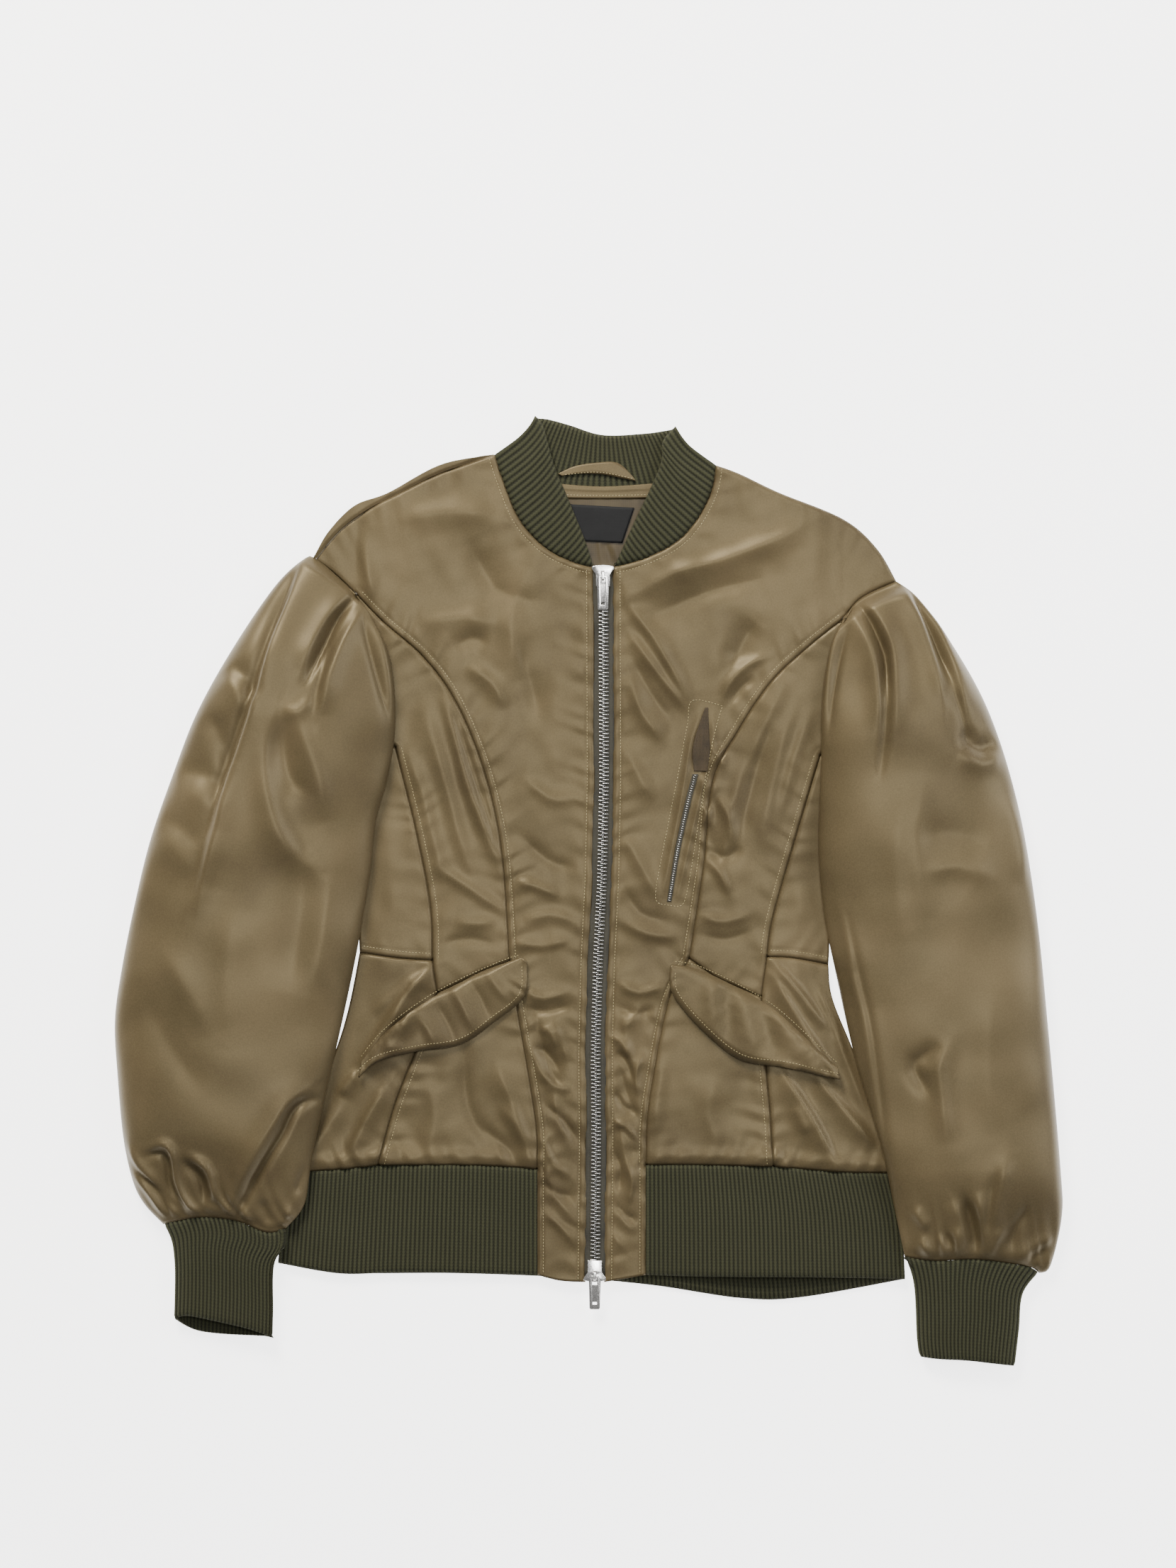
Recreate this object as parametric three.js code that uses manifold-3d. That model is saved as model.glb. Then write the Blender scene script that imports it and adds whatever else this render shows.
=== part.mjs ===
// A bomber jacket laid flat on its back: satin shell, rib-knit collar, cuffs and hem, two-way zip.
// Right and left are the wearer's. Seen from above, the wearer's right side has the lower x.
// Millimetres, +Z up, +Y towards the collar. The origin is on the floor under the zip at the waist.
import * as THREE from "three";
import { mergeVertices } from "three/addons/utils/BufferGeometryUtils.js";
import Module from "manifold-3d";

const wasm = await Module();
wasm.setup();

// Driving sizes
const jacketLength = 657; // collar top to hem, measured down the middle of the back
const viewLength = 1240; // the same length in steps of the front view
const step = jacketLength / viewLength; // real size of one step of the front view
const zipView = { x: 845, y: 1345 }; // step of the front view that lies over the origin
const seamGap = 0.3;
const layerGap = 0.3;
const shellThick = 2.2; // satin with its backing and lining
const ribThick = 3;
const ribPitch = 3.3; // one knit rib and its furrow
const ribRise = 0.7;
const backTop = shellThick;
const frontTop = 7; // outer face of the fronts where they lie smooth
const sideClear = 0.3; // extra room under the fronts at the side edges
const sideTop = backTop + layerGap + shellThick + sideClear; // outer face at the side edges
const sideFall = 26; // width over which the fronts come down to the side edge
const calmHem = { end: -165, start: -140 }; // folds of the fronts fade out between these heights
const overBody = 8.4; // underside of a sleeve where it lies on the body

const satin = new THREE.MeshStandardMaterial({ color: 0x857350, roughness: 0.45, metalness: 0 });
const knit = new THREE.MeshStandardMaterial({ color: 0x363b24, roughness: 0.9, metalness: 0 });
const liningCloth = new THREE.MeshStandardMaterial({ color: 0x5c4f31, roughness: 0.6, metalness: 0 });
const blackTape = new THREE.MeshStandardMaterial({ color: 0x1b1c20, roughness: 0.8, metalness: 0 });
const greyTape = new THREE.MeshStandardMaterial({ color: 0x6b675a, roughness: 0.85, metalness: 0 });
const nickel = new THREE.MeshStandardMaterial({ color: 0xc9c8c4, roughness: 0.28, metalness: 1 });

const jacket = new THREE.Group();

function addPiece(name, geometry, material) {
  const mesh = new THREE.Mesh(geometry, material);
  mesh.name = name;
  jacket.add(mesh);
  return mesh;
}

// Outline tables list points of the front view, columns x (across) and y (down).
function toPlan([x, y]) {
  return new THREE.Vector2((x - zipView.x) * step, (zipView.y - y) * step);
}

function sample(table, parts) {
  const points = table.map(toPlan);
  if (points.length === 2) {
    return Array.from({ length: parts + 1 }, (_, i) => points[0].clone().lerp(points[1], i / parts));
  }
  return new THREE.SplineCurve(points).getSpacedPoints(parts);
}

// Joins runs of points end to end. The shared end points are kept once.
function chain(...runs) {
  return runs.flatMap((run, k) => (k === 0 ? run : run.slice(1)));
}

function pointAlong(line, share) {
  const lengths = [0];
  for (let i = 1; i < line.length; i += 1) lengths.push(lengths[i - 1] + line[i].distanceTo(line[i - 1]));
  const want = share * lengths[lengths.length - 1];
  let k = 1;
  while (k < line.length - 1 && lengths[k] < want) k += 1;
  const span = lengths[k] - lengths[k - 1] || 1;
  return line[k - 1].clone().lerp(line[k], (want - lengths[k - 1]) / span);
}

function respace(line, parts) {
  return Array.from({ length: parts + 1 }, (_, i) => pointAlong(line, i / parts));
}

function smooth(low, high, value) {
  const t = Math.min(1, Math.max(0, (value - low) / (high - low)));
  return t * t * (3 - 2 * t);
}

// Folds. Columns: x1, y1, x2, y2 in the front view, then width and rise in millimetres.
// A ridge is even on both sides. A tuck drops steeply on the right of its run and eases off on the left.
const ridges = [
  [632, 1000, 708, 1227, 5, 2.2],
  [600, 1010, 668, 1240, 6, 1.6],
  [575, 1060, 625, 1250, 5, 1.2],
  [618, 1225, 715, 1287, 4, 1.5],
  [560, 735, 700, 730, 12, 1.2],
  [590, 880, 700, 875, 12, 1.2],
  [505, 760, 530, 850, 7, 2.0],
  [727, 1243, 790, 1265, 5, 1.2],
  [1205, 745, 1207, 845, 7, 2.2],
  [897, 840, 1137, 740, 9, 1.8],
  [885, 855, 973, 990, 6, 1.6],
  [890, 960, 935, 1040, 6, 1.2],
  [1110, 960, 1060, 1080, 7, 1.4],
  [1120, 1000, 1075, 1180, 6, 1.2],
  [880, 1180, 930, 1270, 6, 1.2],
  [640, 1300, 700, 1300, 6, 1.0],
  [1000, 1300, 1060, 1290, 6, 1.0],
  [775, 1440, 800, 1500, 5, 1.3],
  [780, 1540, 805, 1620, 5, 1.3],
  [880, 1440, 900, 1530, 5, 1.3],
  [875, 1590, 895, 1680, 5, 1.3],
  [700, 1500, 745, 1620, 6, 1.5],
  [935, 1500, 925, 1600, 6, 1.2],
];
const tucks = [
  [612, 1362, 545, 1455, 8, 2.0],
  [575, 1400, 505, 1509, 8, 2.2],
  [533, 1550, 488, 1636, 9, 1.8],
  [505, 1509, 478, 1545, 7, 1.5],
  [1095, 1360, 1165, 1450, 7, 2.2],
  [1090, 1380, 1185, 1535, 8, 2.2],
  [1102, 1518, 1180, 1645, 9, 2.2],
  [1150, 1520, 1235, 1618, 8, 2.0],
  [1120, 1560, 1140, 1600, 7, 1.4],
];

const foldEnd = 1.5; // a ridge fades out past its ends over this share of its width
const tuckDrop = 0.35; // the steep side of a tuck falls over this share of its width

function alongRun(point, [x1, y1, x2, y2]) {
  const start = toPlan([x1, y1]);
  const run = toPlan([x2, y2]).sub(start);
  const length = run.length();
  const offset = point.clone().sub(start);
  const along = offset.dot(run) / length;
  const across = (offset.x * run.y - offset.y * run.x) / length;
  return { across, beyond: Math.max(0, -along, along - length) };
}

function foldRise(point, evenFolds, stepFolds) {
  let rise = 0;
  for (const fold of evenFolds) {
    const { across, beyond } = alongRun(point, fold);
    rise += fold[5] * Math.exp(-((across / fold[4]) ** 2) - (beyond / (foldEnd * fold[4])) ** 2);
  }
  for (const fold of stepFolds) {
    const { across, beyond } = alongRun(point, fold);
    const side = across < 0 ? Math.exp(across / fold[4]) : Math.exp(-across / (tuckDrop * fold[4]));
    rise += fold[5] * side * Math.exp(-((beyond / fold[4]) ** 2));
  }
  return rise;
}

// Side edges of the body, where front and back meet. Columns: x, y.
const bodySide = {
  right: {
    upper: [[505, 1060], [503, 1200], [507, 1344]],
    lower: [[507, 1344], [491, 1424], [470, 1490], [430, 1580], [402, 1655]],
    rib: [[402, 1655], [392, 1782]],
    armhole: [[502, 838], [506, 950], [505, 1060]],
  },
  left: {
    upper: [[1180, 1060], [1176, 1200], [1169, 1361]],
    lower: [[1169, 1361], [1175, 1410], [1211, 1500], [1243, 1600], [1257, 1656]],
    rib: [[1257, 1656], [1277, 1805]],
    armhole: [[1192, 872], [1188, 960], [1180, 1060]],
  },
};

const sideLines = Object.fromEntries(Object.entries(bodySide).map(([side, part]) => [
  side,
  chain(sample(part.armhole, 4), sample(part.upper, 8), sample(part.lower, 12), sample(part.rib, 4)),
]));

function sideXAt(side, y) {
  const line = sideLines[side];
  let k = 1;
  while (k < line.length - 1 && line[k].y > y) k += 1;
  const share = (line[k - 1].y - y) / (line[k - 1].y - line[k].y);
  return line[k - 1].x + (line[k].x - line[k - 1].x) * Math.min(1, Math.max(0, share));
}

// Height of the fronts' outer face over the floor.
function frontHeight(point) {
  const inRight = point.x - sideXAt("right", point.y);
  const inLeft = sideXAt("left", point.y) - point.x;
  const inside = smooth(0, sideFall, Math.min(inRight, inLeft));
  const aboveHem = smooth(calmHem.end, calmHem.start, point.y);
  const folds = foldRise(point, ridges, tucks) * inside * aboveHem;
  return sideTop + (frontTop - sideTop) * inside + folds;
}

// A closed wall between an outer and an inner grid of points with the same number of columns.
// The rows run down the piece and the columns to the right, so that the outer face looks up.
function wallGeometry(outer, inner, closedRing = false) {
  const columns = outer[0].length;
  const points = [...outer.flat(), ...inner.flat()];
  const outerAt = (i, j) => i * columns + (j % columns);
  const innerAt = (i, j) => outer.length * columns + i * columns + (j % columns);
  const faces = [];
  const quad = (a, b, c, d) => faces.push(a, b, c, a, c, d);
  const cells = closedRing ? columns : columns - 1;
  for (let j = 0; j < cells; j += 1) {
    for (let i = 0; i < outer.length - 1; i += 1) {
      quad(outerAt(i, j), outerAt(i + 1, j), outerAt(i + 1, j + 1), outerAt(i, j + 1));
    }
    for (let i = 0; i < inner.length - 1; i += 1) {
      quad(innerAt(i, j), innerAt(i, j + 1), innerAt(i + 1, j + 1), innerAt(i + 1, j));
    }
    const lastOuter = outer.length - 1;
    const lastInner = inner.length - 1;
    quad(outerAt(0, j), outerAt(0, j + 1), innerAt(0, j + 1), innerAt(0, j));
    quad(
      outerAt(lastOuter, j), innerAt(lastInner, j), innerAt(lastInner, j + 1), outerAt(lastOuter, j + 1),
    );
  }
  if (!closedRing) {
    endStrip(faces, outer.length, inner.length, (i) => outerAt(i, 0), (i) => innerAt(i, 0), false);
    const last = columns - 1;
    endStrip(faces, outer.length, inner.length, (i) => outerAt(i, last), (i) => innerAt(i, last), true);
  }
  const geometry = new THREE.BufferGeometry();
  const places = points.flatMap((p) => [p.x, p.y, p.z]);
  geometry.setAttribute("position", new THREE.Float32BufferAttribute(places, 3));
  geometry.setIndex(faces);
  geometry.computeVertexNormals();
  return geometry;
}

// Closes one side edge of a wall whose outer and inner faces may have different row counts.
function endStrip(faces, outerRows, innerRows, outerAt, innerAt, atRight) {
  let i = 0;
  let k = 0;
  while (i < outerRows - 1 || k < innerRows - 1) {
    const outerNext = (i + 1) / (outerRows - 1);
    const innerNext = (k + 1) / (innerRows - 1);
    const stepOuter = k === innerRows - 1 || (i < outerRows - 1 && outerNext <= innerNext);
    const third = stepOuter ? outerAt(i + 1) : innerAt(k + 1);
    const corners = [outerAt(i), innerAt(k), third];
    faces.push(...(atRight ? corners.reverse() : corners));
    if (stepOuter) i += 1;
    else k += 1;
  }
}

// Plan points of a four-sided patch between its boundary lines, each pulled in by half a seam gap.
function patch(left, right, top, bottom) {
  const rows = left.length - 1;
  const columns = top.length - 1;
  const grid = [];
  for (let i = 0; i <= rows; i += 1) {
    const v = i / rows;
    const row = [];
    for (let j = 0; j <= columns; j += 1) {
      const u = j / columns;
      const point = new THREE.Vector2();
      point.addScaledVector(top[j], 1 - v).addScaledVector(bottom[j], v);
      point.addScaledVector(left[i], 1 - u).addScaledVector(right[i], u);
      point.addScaledVector(left[0], -(1 - u) * (1 - v)).addScaledVector(right[0], -u * (1 - v));
      point.addScaledVector(left[rows], -(1 - u) * v).addScaledVector(right[rows], -u * v);
      row.push(point);
    }
    grid.push(row);
  }
  return pullIn(grid, seamGap / 2);
}

function pullIn(grid, distance) {
  const rows = grid.length - 1;
  const columns = grid[0].length - 1;
  const inward = (before, after) => {
    const run = after.clone().sub(before).normalize();
    return new THREE.Vector2(-run.y, run.x);
  };
  return grid.map((row, i) => row.map((point, j) => {
    const shift = new THREE.Vector2();
    const above = grid[Math.max(0, i - 1)][j];
    const below = grid[Math.min(rows, i + 1)][j];
    const before = row[Math.max(0, j - 1)];
    const after = row[Math.min(columns, j + 1)];
    if (j === 0) shift.add(inward(above, below));
    if (j === columns) shift.add(inward(below, above));
    if (i === 0) shift.add(inward(after, before));
    if (i === rows) shift.add(inward(before, after));
    return point.clone().addScaledVector(shift, distance);
  }));
}

function addPanel(name, grid, height, thickness, material = satin) {
  const outer = grid.map((row) => row.map((p) => new THREE.Vector3(p.x, p.y, height(p))));
  const inner = outer.map((row) => row.map((p) => new THREE.Vector3(p.x, p.y, p.z - thickness)));
  return addPiece(name, wallGeometry(outer, inner), material);
}

// Seams of the fronts. Columns: x, y. Each runs from the shoulder towards the hem.
const seams = {
  right: {
    shoulder: [[444, 790], [477, 750], [520, 718], [570, 692], [622, 667], [698, 641]],
    neckline: [[698, 641], [708, 673], [733, 733], [770, 773], [812, 794], [838, 800]],
    armhole: [[444, 790], [470, 808], [502, 838]],
    princess: [[502, 838], [540, 877], [597, 927], [643, 990], [683, 1087], [708, 1200], [719, 1356]],
    princessLow: [[719, 1356], [729, 1420], [749, 1534], [758, 1600], [758, 1650]],
    princessRib: [[758, 1650], [758, 1799]],
    underArm: [[502, 838], [508, 950], [530, 1030], [557, 1053]],
    side: [[557, 1053], [587, 1173], [607, 1277], [610, 1355]],
    sideWaist: [[610, 1355], [617, 1401]],
    sideLow: [[617, 1401], [582, 1493], [556, 1562], [533, 1644]],
    waist: [[507, 1344], [563, 1352], [610, 1355]],
    flapSeam: [[617, 1401], [647, 1387], [680, 1370], [719, 1356]],
    ribTopSide: [[402, 1655], [480, 1650], [533, 1644]],
    ribTopFront: [[533, 1644], [643, 1644], [704, 1646], [758, 1650]],
    ribBottom: [[392, 1782], [480, 1797], [562, 1795], [643, 1796], [758, 1799]],
    centreHem: [[758, 1799], [790, 1807], [826, 1809]],
    flapTop: [[510, 1497], [543, 1457], [593, 1418], [647, 1387], [713, 1358], [737, 1351]],
    flapEdge: [[507, 1520], [533, 1497], [587, 1483], [650, 1473], [697, 1442], [740, 1405], [744, 1357]],
  },
  left: {
    shoulder: [[1010, 656], [1043, 668], [1100, 695], [1190, 732], [1237, 773], [1265, 820]],
    neckline: [[1010, 656], [1003, 693], [980, 737], [950, 767], [905, 789], [865, 800]],
    armhole: [[1265, 820], [1230, 835], [1207, 850], [1192, 872]],
    princess: [[1192, 872], [1140, 913], [1087, 963], [1040, 1033], [1005, 1103], [993, 1217], [972, 1352]],
    princessLow: [[972, 1352], [942, 1416], [920, 1526], [912, 1587], [911, 1644]],
    princessRib: [[911, 1644], [911, 1799]],
    underArm: [[1192, 872], [1192, 960], [1182, 1030], [1158, 1065]],
    side: [[1158, 1065], [1123, 1180], [1090, 1297], [1082, 1350]],
    sideWaist: [[1082, 1350], [1074, 1407]],
    sideLow: [[1074, 1407], [1081, 1509], [1087, 1575], [1091, 1646]],
    waist: [[1082, 1350], [1120, 1352], [1169, 1361]],
    flapSeam: [[972, 1352], [1007, 1377], [1030, 1388], [1074, 1407]],
    ribTopSide: [[1091, 1646], [1187, 1654], [1257, 1656]],
    ribTopFront: [[911, 1644], [983, 1644], [1091, 1646]],
    ribBottom: [[911, 1799], [983, 1801], [1147, 1802], [1277, 1805]],
    centreHem: [[853, 1809], [888, 1803], [911, 1799]],
    flapTop: [[947, 1360], [987, 1368], [1053, 1400], [1098, 1429], [1159, 1485], [1181, 1505]],
    flapEdge: [[945, 1366], [949, 1403], [991, 1454], [1044, 1495], [1106, 1505],
      [1163, 1518], [1185, 1523]],
  },
};

// Middle of the zip, which wanders a little. Columns: y, x.
const zipRun = [[797, 851], [1100, 852], [1240, 849], [1362, 843], [1485, 840], [1607, 841], [1809, 839]];
const tapeHalf = 13; // half width of the zip between the fronts' edges, in steps of the view

function zipX(y) {
  let k = 1;
  while (k < zipRun.length - 1 && zipRun[k][0] < y) k += 1;
  const [y1, x1] = zipRun[k - 1];
  const [y2, x2] = zipRun[k];
  return x1 + (x2 - x1) * ((y - y1) / (y2 - y1));
}

const zipTopY = 800;
const zipEndY = 1809;
const rowCounts = { armhole: 2, princess: 18, princessLow: 9, princessRib: 4, neckline: 7 };

// Lines of one front, sampled once so that neighbours share their seam points.
function frontLines(side) {
  const seam = seams[side];
  const lines = {
    armhole: sample(seam.armhole, rowCounts.armhole),
    princess: sample(seam.princess, rowCounts.princess),
    princessLow: sample(seam.princessLow, rowCounts.princessLow),
    princessRib: sample(seam.princessRib, rowCounts.princessRib),
    neckline: sample(seam.neckline, rowCounts.neckline),
    underArm: sample(seam.underArm, 6),
    side: sample(seam.side, 10),
    sideWaist: sample(seam.sideWaist, 2),
    sideLow: sample(seam.sideLow, rowCounts.princessLow),
    waist: sample(seam.waist, 6),
    flapSeam: sample(seam.flapSeam, 5),
    shoulder: sample(seam.shoulder, 6),
    ribTopSide: sample(seam.ribTopSide, 6),
    ribTopFront: sample(seam.ribTopFront, 5),
  };
  lines.outerRun = chain(lines.armhole, lines.princess, lines.princessLow, lines.princessRib);
  const edge = side === "right" ? -tapeHalf : tapeHalf;
  const first = lines.outerRun[rowCounts.neckline].y;
  const last = lines.outerRun[lines.outerRun.length - 1].y;
  const zipTop = toPlan([0, zipTopY]).y;
  const zipEnd = toPlan([0, zipEndY]).y;
  lines.zip = lines.outerRun.slice(rowCounts.neckline).map((point) => {
    const planY = zipTop + ((point.y - first) / (last - first)) * (zipEnd - zipTop);
    const viewY = zipView.y - planY / step;
    return toPlan([zipX(viewY) + edge, viewY]);
  });
  lines.neckline[lines.neckline.length - 1].copy(lines.zip[0]);
  lines.innerRun = chain(lines.neckline, lines.zip);
  lines.hem = sample(seam.centreHem, 6);
  const zipCorner = side === "right" ? lines.hem.length - 1 : 0;
  lines.hem[zipCorner].copy(lines.zip[lines.zip.length - 1]);
  return lines;
}

const lines = { right: frontLines("right"), left: frontLines("left") };

// Orders a left-hand and a right-hand line by which side of the jacket the panel is on.
function between(side, outerLine, innerLine, top, bottom) {
  return side === "right"
    ? patch(outerLine, innerLine, top, bottom)
    : patch(innerLine, outerLine, top, bottom);
}

const sideFrontStart = 6 * step; // the side front starts this wide at the armhole

function addFront(name, grid) {
  addPanel(name, grid, frontHeight, shellThick);
}

function buildFront(side) {
  const own = lines[side];
  const body = bodySide[side];
  addFront(`centre_front_${side}`, between(side, own.outerRun, own.innerRun, own.shoulder, own.hem));

  const outerSeam = chain(own.underArm, own.side, own.sideWaist);
  const inward = side === "right" ? sideFrontStart : -sideFrontStart;
  const startCorner = outerSeam[0].clone().add(new THREE.Vector2(inward, -sideFrontStart));
  const sideFrontTop = respace([outerSeam[0], startCorner], 5);
  const orderedTop = side === "right" ? sideFrontTop : sideFrontTop.reverse();
  const princess = own.princess.map((p) => p.clone());
  princess[0].copy(side === "right" ? orderedTop[5] : orderedTop[0]);
  addFront(`side_front_${side}`, between(side, outerSeam, princess, orderedTop, own.flapSeam));

  const bodyUpper = sample(body.upper, 10);
  const armpit = respace([bodyUpper[0], own.side[0]], 4);
  const waist = respace(own.waist, 4);
  const orderedArmpit = side === "right" ? armpit : armpit.slice().reverse();
  addFront(`side_body_${side}`, between(side, bodyUpper, own.side, orderedArmpit, waist));

  const bodyLower = sample(body.lower, rowCounts.princessLow + 2);
  const peplumSeam = chain(own.sideWaist, own.sideLow);
  addFront(`side_peplum_${side}`, between(side, bodyLower, peplumSeam, own.waist, own.ribTopSide));
  const lowerGrid = between(side, own.sideLow, own.princessLow, own.flapSeam, own.ribTopFront);
  addFront(`lower_front_${side}`, lowerGrid);
}

// The pocket flap lies on the front, seamed along its top, with its outer tip lifted.
const flapThick = 1.8;
const flapClear = 0.7;
const flapTipLift = 3.5;
const flapReach = 9; // a flap clears the folds this near to it

function buildFlap(side) {
  const seam = seams[side];
  const top = sample(seam.flapTop, 12);
  const edge = sample(seam.flapEdge, 12);
  const atLeft = sample([seam.flapTop[0], seam.flapEdge[0]], 3);
  const atRight = sample([seam.flapTop.at(-1), seam.flapEdge.at(-1)], 3);
  const grid = patch(atLeft, atRight, top, edge);
  const columns = grid[0].length - 1;
  const outer = grid.map((row, i) => row.map((p, j) => {
    const towardsTip = side === "right" ? 1 - j / columns : j / columns;
    const lift = flapTipLift * (i / (grid.length - 1)) * smooth(0.25, 1, towardsTip);
    const below = highestNear(p, flapReach);
    return new THREE.Vector3(p.x, p.y, below + flapClear + lift + flapThick);
  }));
  const inner = outer.map((row) => row.map((p) => new THREE.Vector3(p.x, p.y, p.z - flapThick)));
  addPiece(`pocket_flap_${side}`, wallGeometry(outer, inner), satin);
}

// Highest point of the fronts around a place, so that what lies on them clears their folds.
function highestNear(point, reach) {
  let top = frontHeight(point);
  for (let k = 0; k < 8; k += 1) {
    const angle = (k * Math.PI) / 4;
    const near = new THREE.Vector2(point.x + reach * Math.cos(angle), point.y + reach * Math.sin(angle));
    top = Math.max(top, frontHeight(near));
  }
  return top;
}

// Back of the body, flat on the floor. Columns: x, y.
const backNeck = [[698, 641], [720, 668], [760, 688], [850, 694], [935, 689], [980, 676], [1010, 656]];
const backRibTop = 1660;

function buildBack() {
  const right = bodySide.right;
  const left = bodySide.left;
  const shoulderRight = sample([[698, 641], [622, 655], [547, 695], [500, 713], [463, 750], [444, 790]], 5);
  const shoulderLeft = sample([[1010, 656], [1100, 695], [1190, 732], [1237, 773], [1265, 820]], 5);
  const armRight = sample(seams.right.armhole, 2);
  armRight[0].copy(shoulderRight[5]);
  const armLeft = sample(seams.left.armhole, 2);
  armLeft[0].copy(shoulderLeft[5]);
  const downRight = chain(
    shoulderRight, armRight, sample(right.armhole, 4), sample(right.upper, 4), sample(right.lower, 6),
  );
  const downLeft = chain(
    shoulderLeft, armLeft, sample(left.armhole, 4), sample(left.upper, 4), sample(left.lower, 6),
  );
  downRight.at(-1).copy(toPlan([402, backRibTop]));
  downLeft.at(-1).copy(toPlan([1257, backRibTop]));
  const neck = sample(backNeck, 6);
  const hem = respace([downRight.at(-1), toPlan([830, backRibTop]), downLeft.at(-1)], 6);
  addPanel("back", patch(downRight, downLeft, neck, hem), () => backTop, shellThick);
}

// Rib knit: a band between a top and a bottom line, with a raised rib every pitch along it.
function ribColumns(length) {
  return 2 * Math.round(length / ribPitch);
}

function lineLength(line) {
  return line.slice(1).reduce((sum, p, i) => sum + p.distanceTo(line[i]), 0);
}

const ribClear = 0.9; // the front rib's plain inside lies this far over the back rib
const hemLift = { right: 0, left: 4.5 }; // how far the front rib's free edge stands up

function buildFrontRib(side) {
  const own = lines[side];
  const topRuns = [own.ribTopSide, own.ribTopFront];
  const top = chain(...(side === "right" ? topRuns : topRuns.reverse()));
  const bottom = sample(seams[side].ribBottom, 12);
  const columns = ribColumns(lineLength(bottom));
  const sideEdge = sample(bodySide[side].rib, 1);
  const innerEdge = [own.princessRib[0], own.princessRib.at(-1)];
  const topLine = respace(top, columns);
  const bottomLine = respace(bottom, columns);
  const grid = between(side, sideEdge, innerEdge, topLine, bottomLine);
  const lift = hemLift[side];
  const inner = grid.map((row, i) => row.map((p, j) => {
    const middle = smooth(0.12, 0.45, j / columns) * (1 - smooth(0.6, 0.95, j / columns));
    return new THREE.Vector3(p.x, p.y, ribThick + ribClear + lift * middle * i);
  }));
  const outer = inner.map((row) => row.map((p, j) => {
    const raised = j % 2 === 1 ? ribRise : 0;
    return new THREE.Vector3(p.x, p.y, p.z + ribThick - ribRise / 2 + raised);
  }));
  addPiece(`hem_rib_front_${side}`, wallGeometry(outer, inner), knit);
}

// The back rib shows its ribbed inside below the front on the wearer's left.
function buildBackRib() {
  const bottomTable = [
    [392, 1782], [480, 1796], [643, 1797], [800, 1803],
    [922, 1814], [1044, 1832], [1130, 1831], [1277, 1805],
  ];
  const ribStart = 880;
  const ribEnd = 1277;
  const plainPart = 8;
  const ribbed = ribColumns((ribEnd - ribStart) * step);
  const edge = sample(bottomTable, 60);
  const xs = [];
  for (let k = 0; k < plainPart; k += 1) xs.push(392 + ((ribStart - 392) * k) / plainPart);
  for (let k = 0; k <= ribbed; k += 1) xs.push(ribStart + ((ribEnd - ribStart) * k) / ribbed);
  const bottom = xs.map((x) => edgePoint(edge, toPlan([x, 0]).x));
  const top = xs.map((x) => toPlan([402 + ((1257 - 402) * (x - 392)) / (1277 - 392), backRibTop]));
  const left = respace([top[0], bottom[0]], 1);
  const right = respace([top.at(-1), bottom.at(-1)], 1);
  const grid = patch(left, right, top, bottom);
  const outer = grid.map((row) => row.map((p, j) => {
    const raised = j > plainPart && (j - plainPart) % 2 === 1 ? ribRise : 0;
    return new THREE.Vector3(p.x, p.y, ribThick - ribRise / 2 + raised);
  }));
  const inner = grid.map((row) => row.map((p) => new THREE.Vector3(p.x, p.y, 0)));
  addPiece("hem_rib_back", wallGeometry(outer, inner), knit);
}

function edgePoint(line, x) {
  let k = 1;
  while (k < line.length - 1 && line[k].x < x) k += 1;
  const share = Math.min(1, Math.max(0, (x - line[k - 1].x) / (line[k].x - line[k - 1].x)));
  return line[k - 1].clone().lerp(line[k], share);
}

// Sleeves. The outer edge is the jacket's outline, the inner edge lies on or beside the body.
// Columns: x, y.
const sleeves = {
  right: {
    outer: [[444, 790], [432, 786], [389, 825], [328, 915], [278, 1005], [243, 1095], [212, 1185], [190, 1275],
      [172, 1365], [162, 1440], [166, 1520], [174, 1605], [187, 1665], [203, 1698], [230, 1727]],
    inner: [[502, 838], [528, 876], [552, 935], [558, 1024], [547, 1097], [530, 1160], [522, 1233],
      [506, 1330], [487, 1423], [462, 1534], [441, 1630], [430, 1698], [403, 1733]],
    cuffSeam: [[230, 1727], [279, 1717], [331, 1721], [376, 1738], [403, 1733]],
  },
  left: {
    outer: [[1265, 820], [1295, 843], [1339, 902], [1394, 1002], [1435, 1131], [1461, 1279], [1478, 1443],
      [1496, 1647], [1498, 1716], [1482, 1786], [1466, 1796]],
    inner: [[1192, 872], [1172, 913], [1160, 987], [1158, 1087], [1155, 1200], [1163, 1293], [1182, 1387],
      [1207, 1497], [1241, 1610], [1262, 1708], [1276, 1773]],
    cuffSeam: [[1276, 1773], [1321, 1778], [1378, 1776], [1447, 1786], [1466, 1796]],
  },
};

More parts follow.
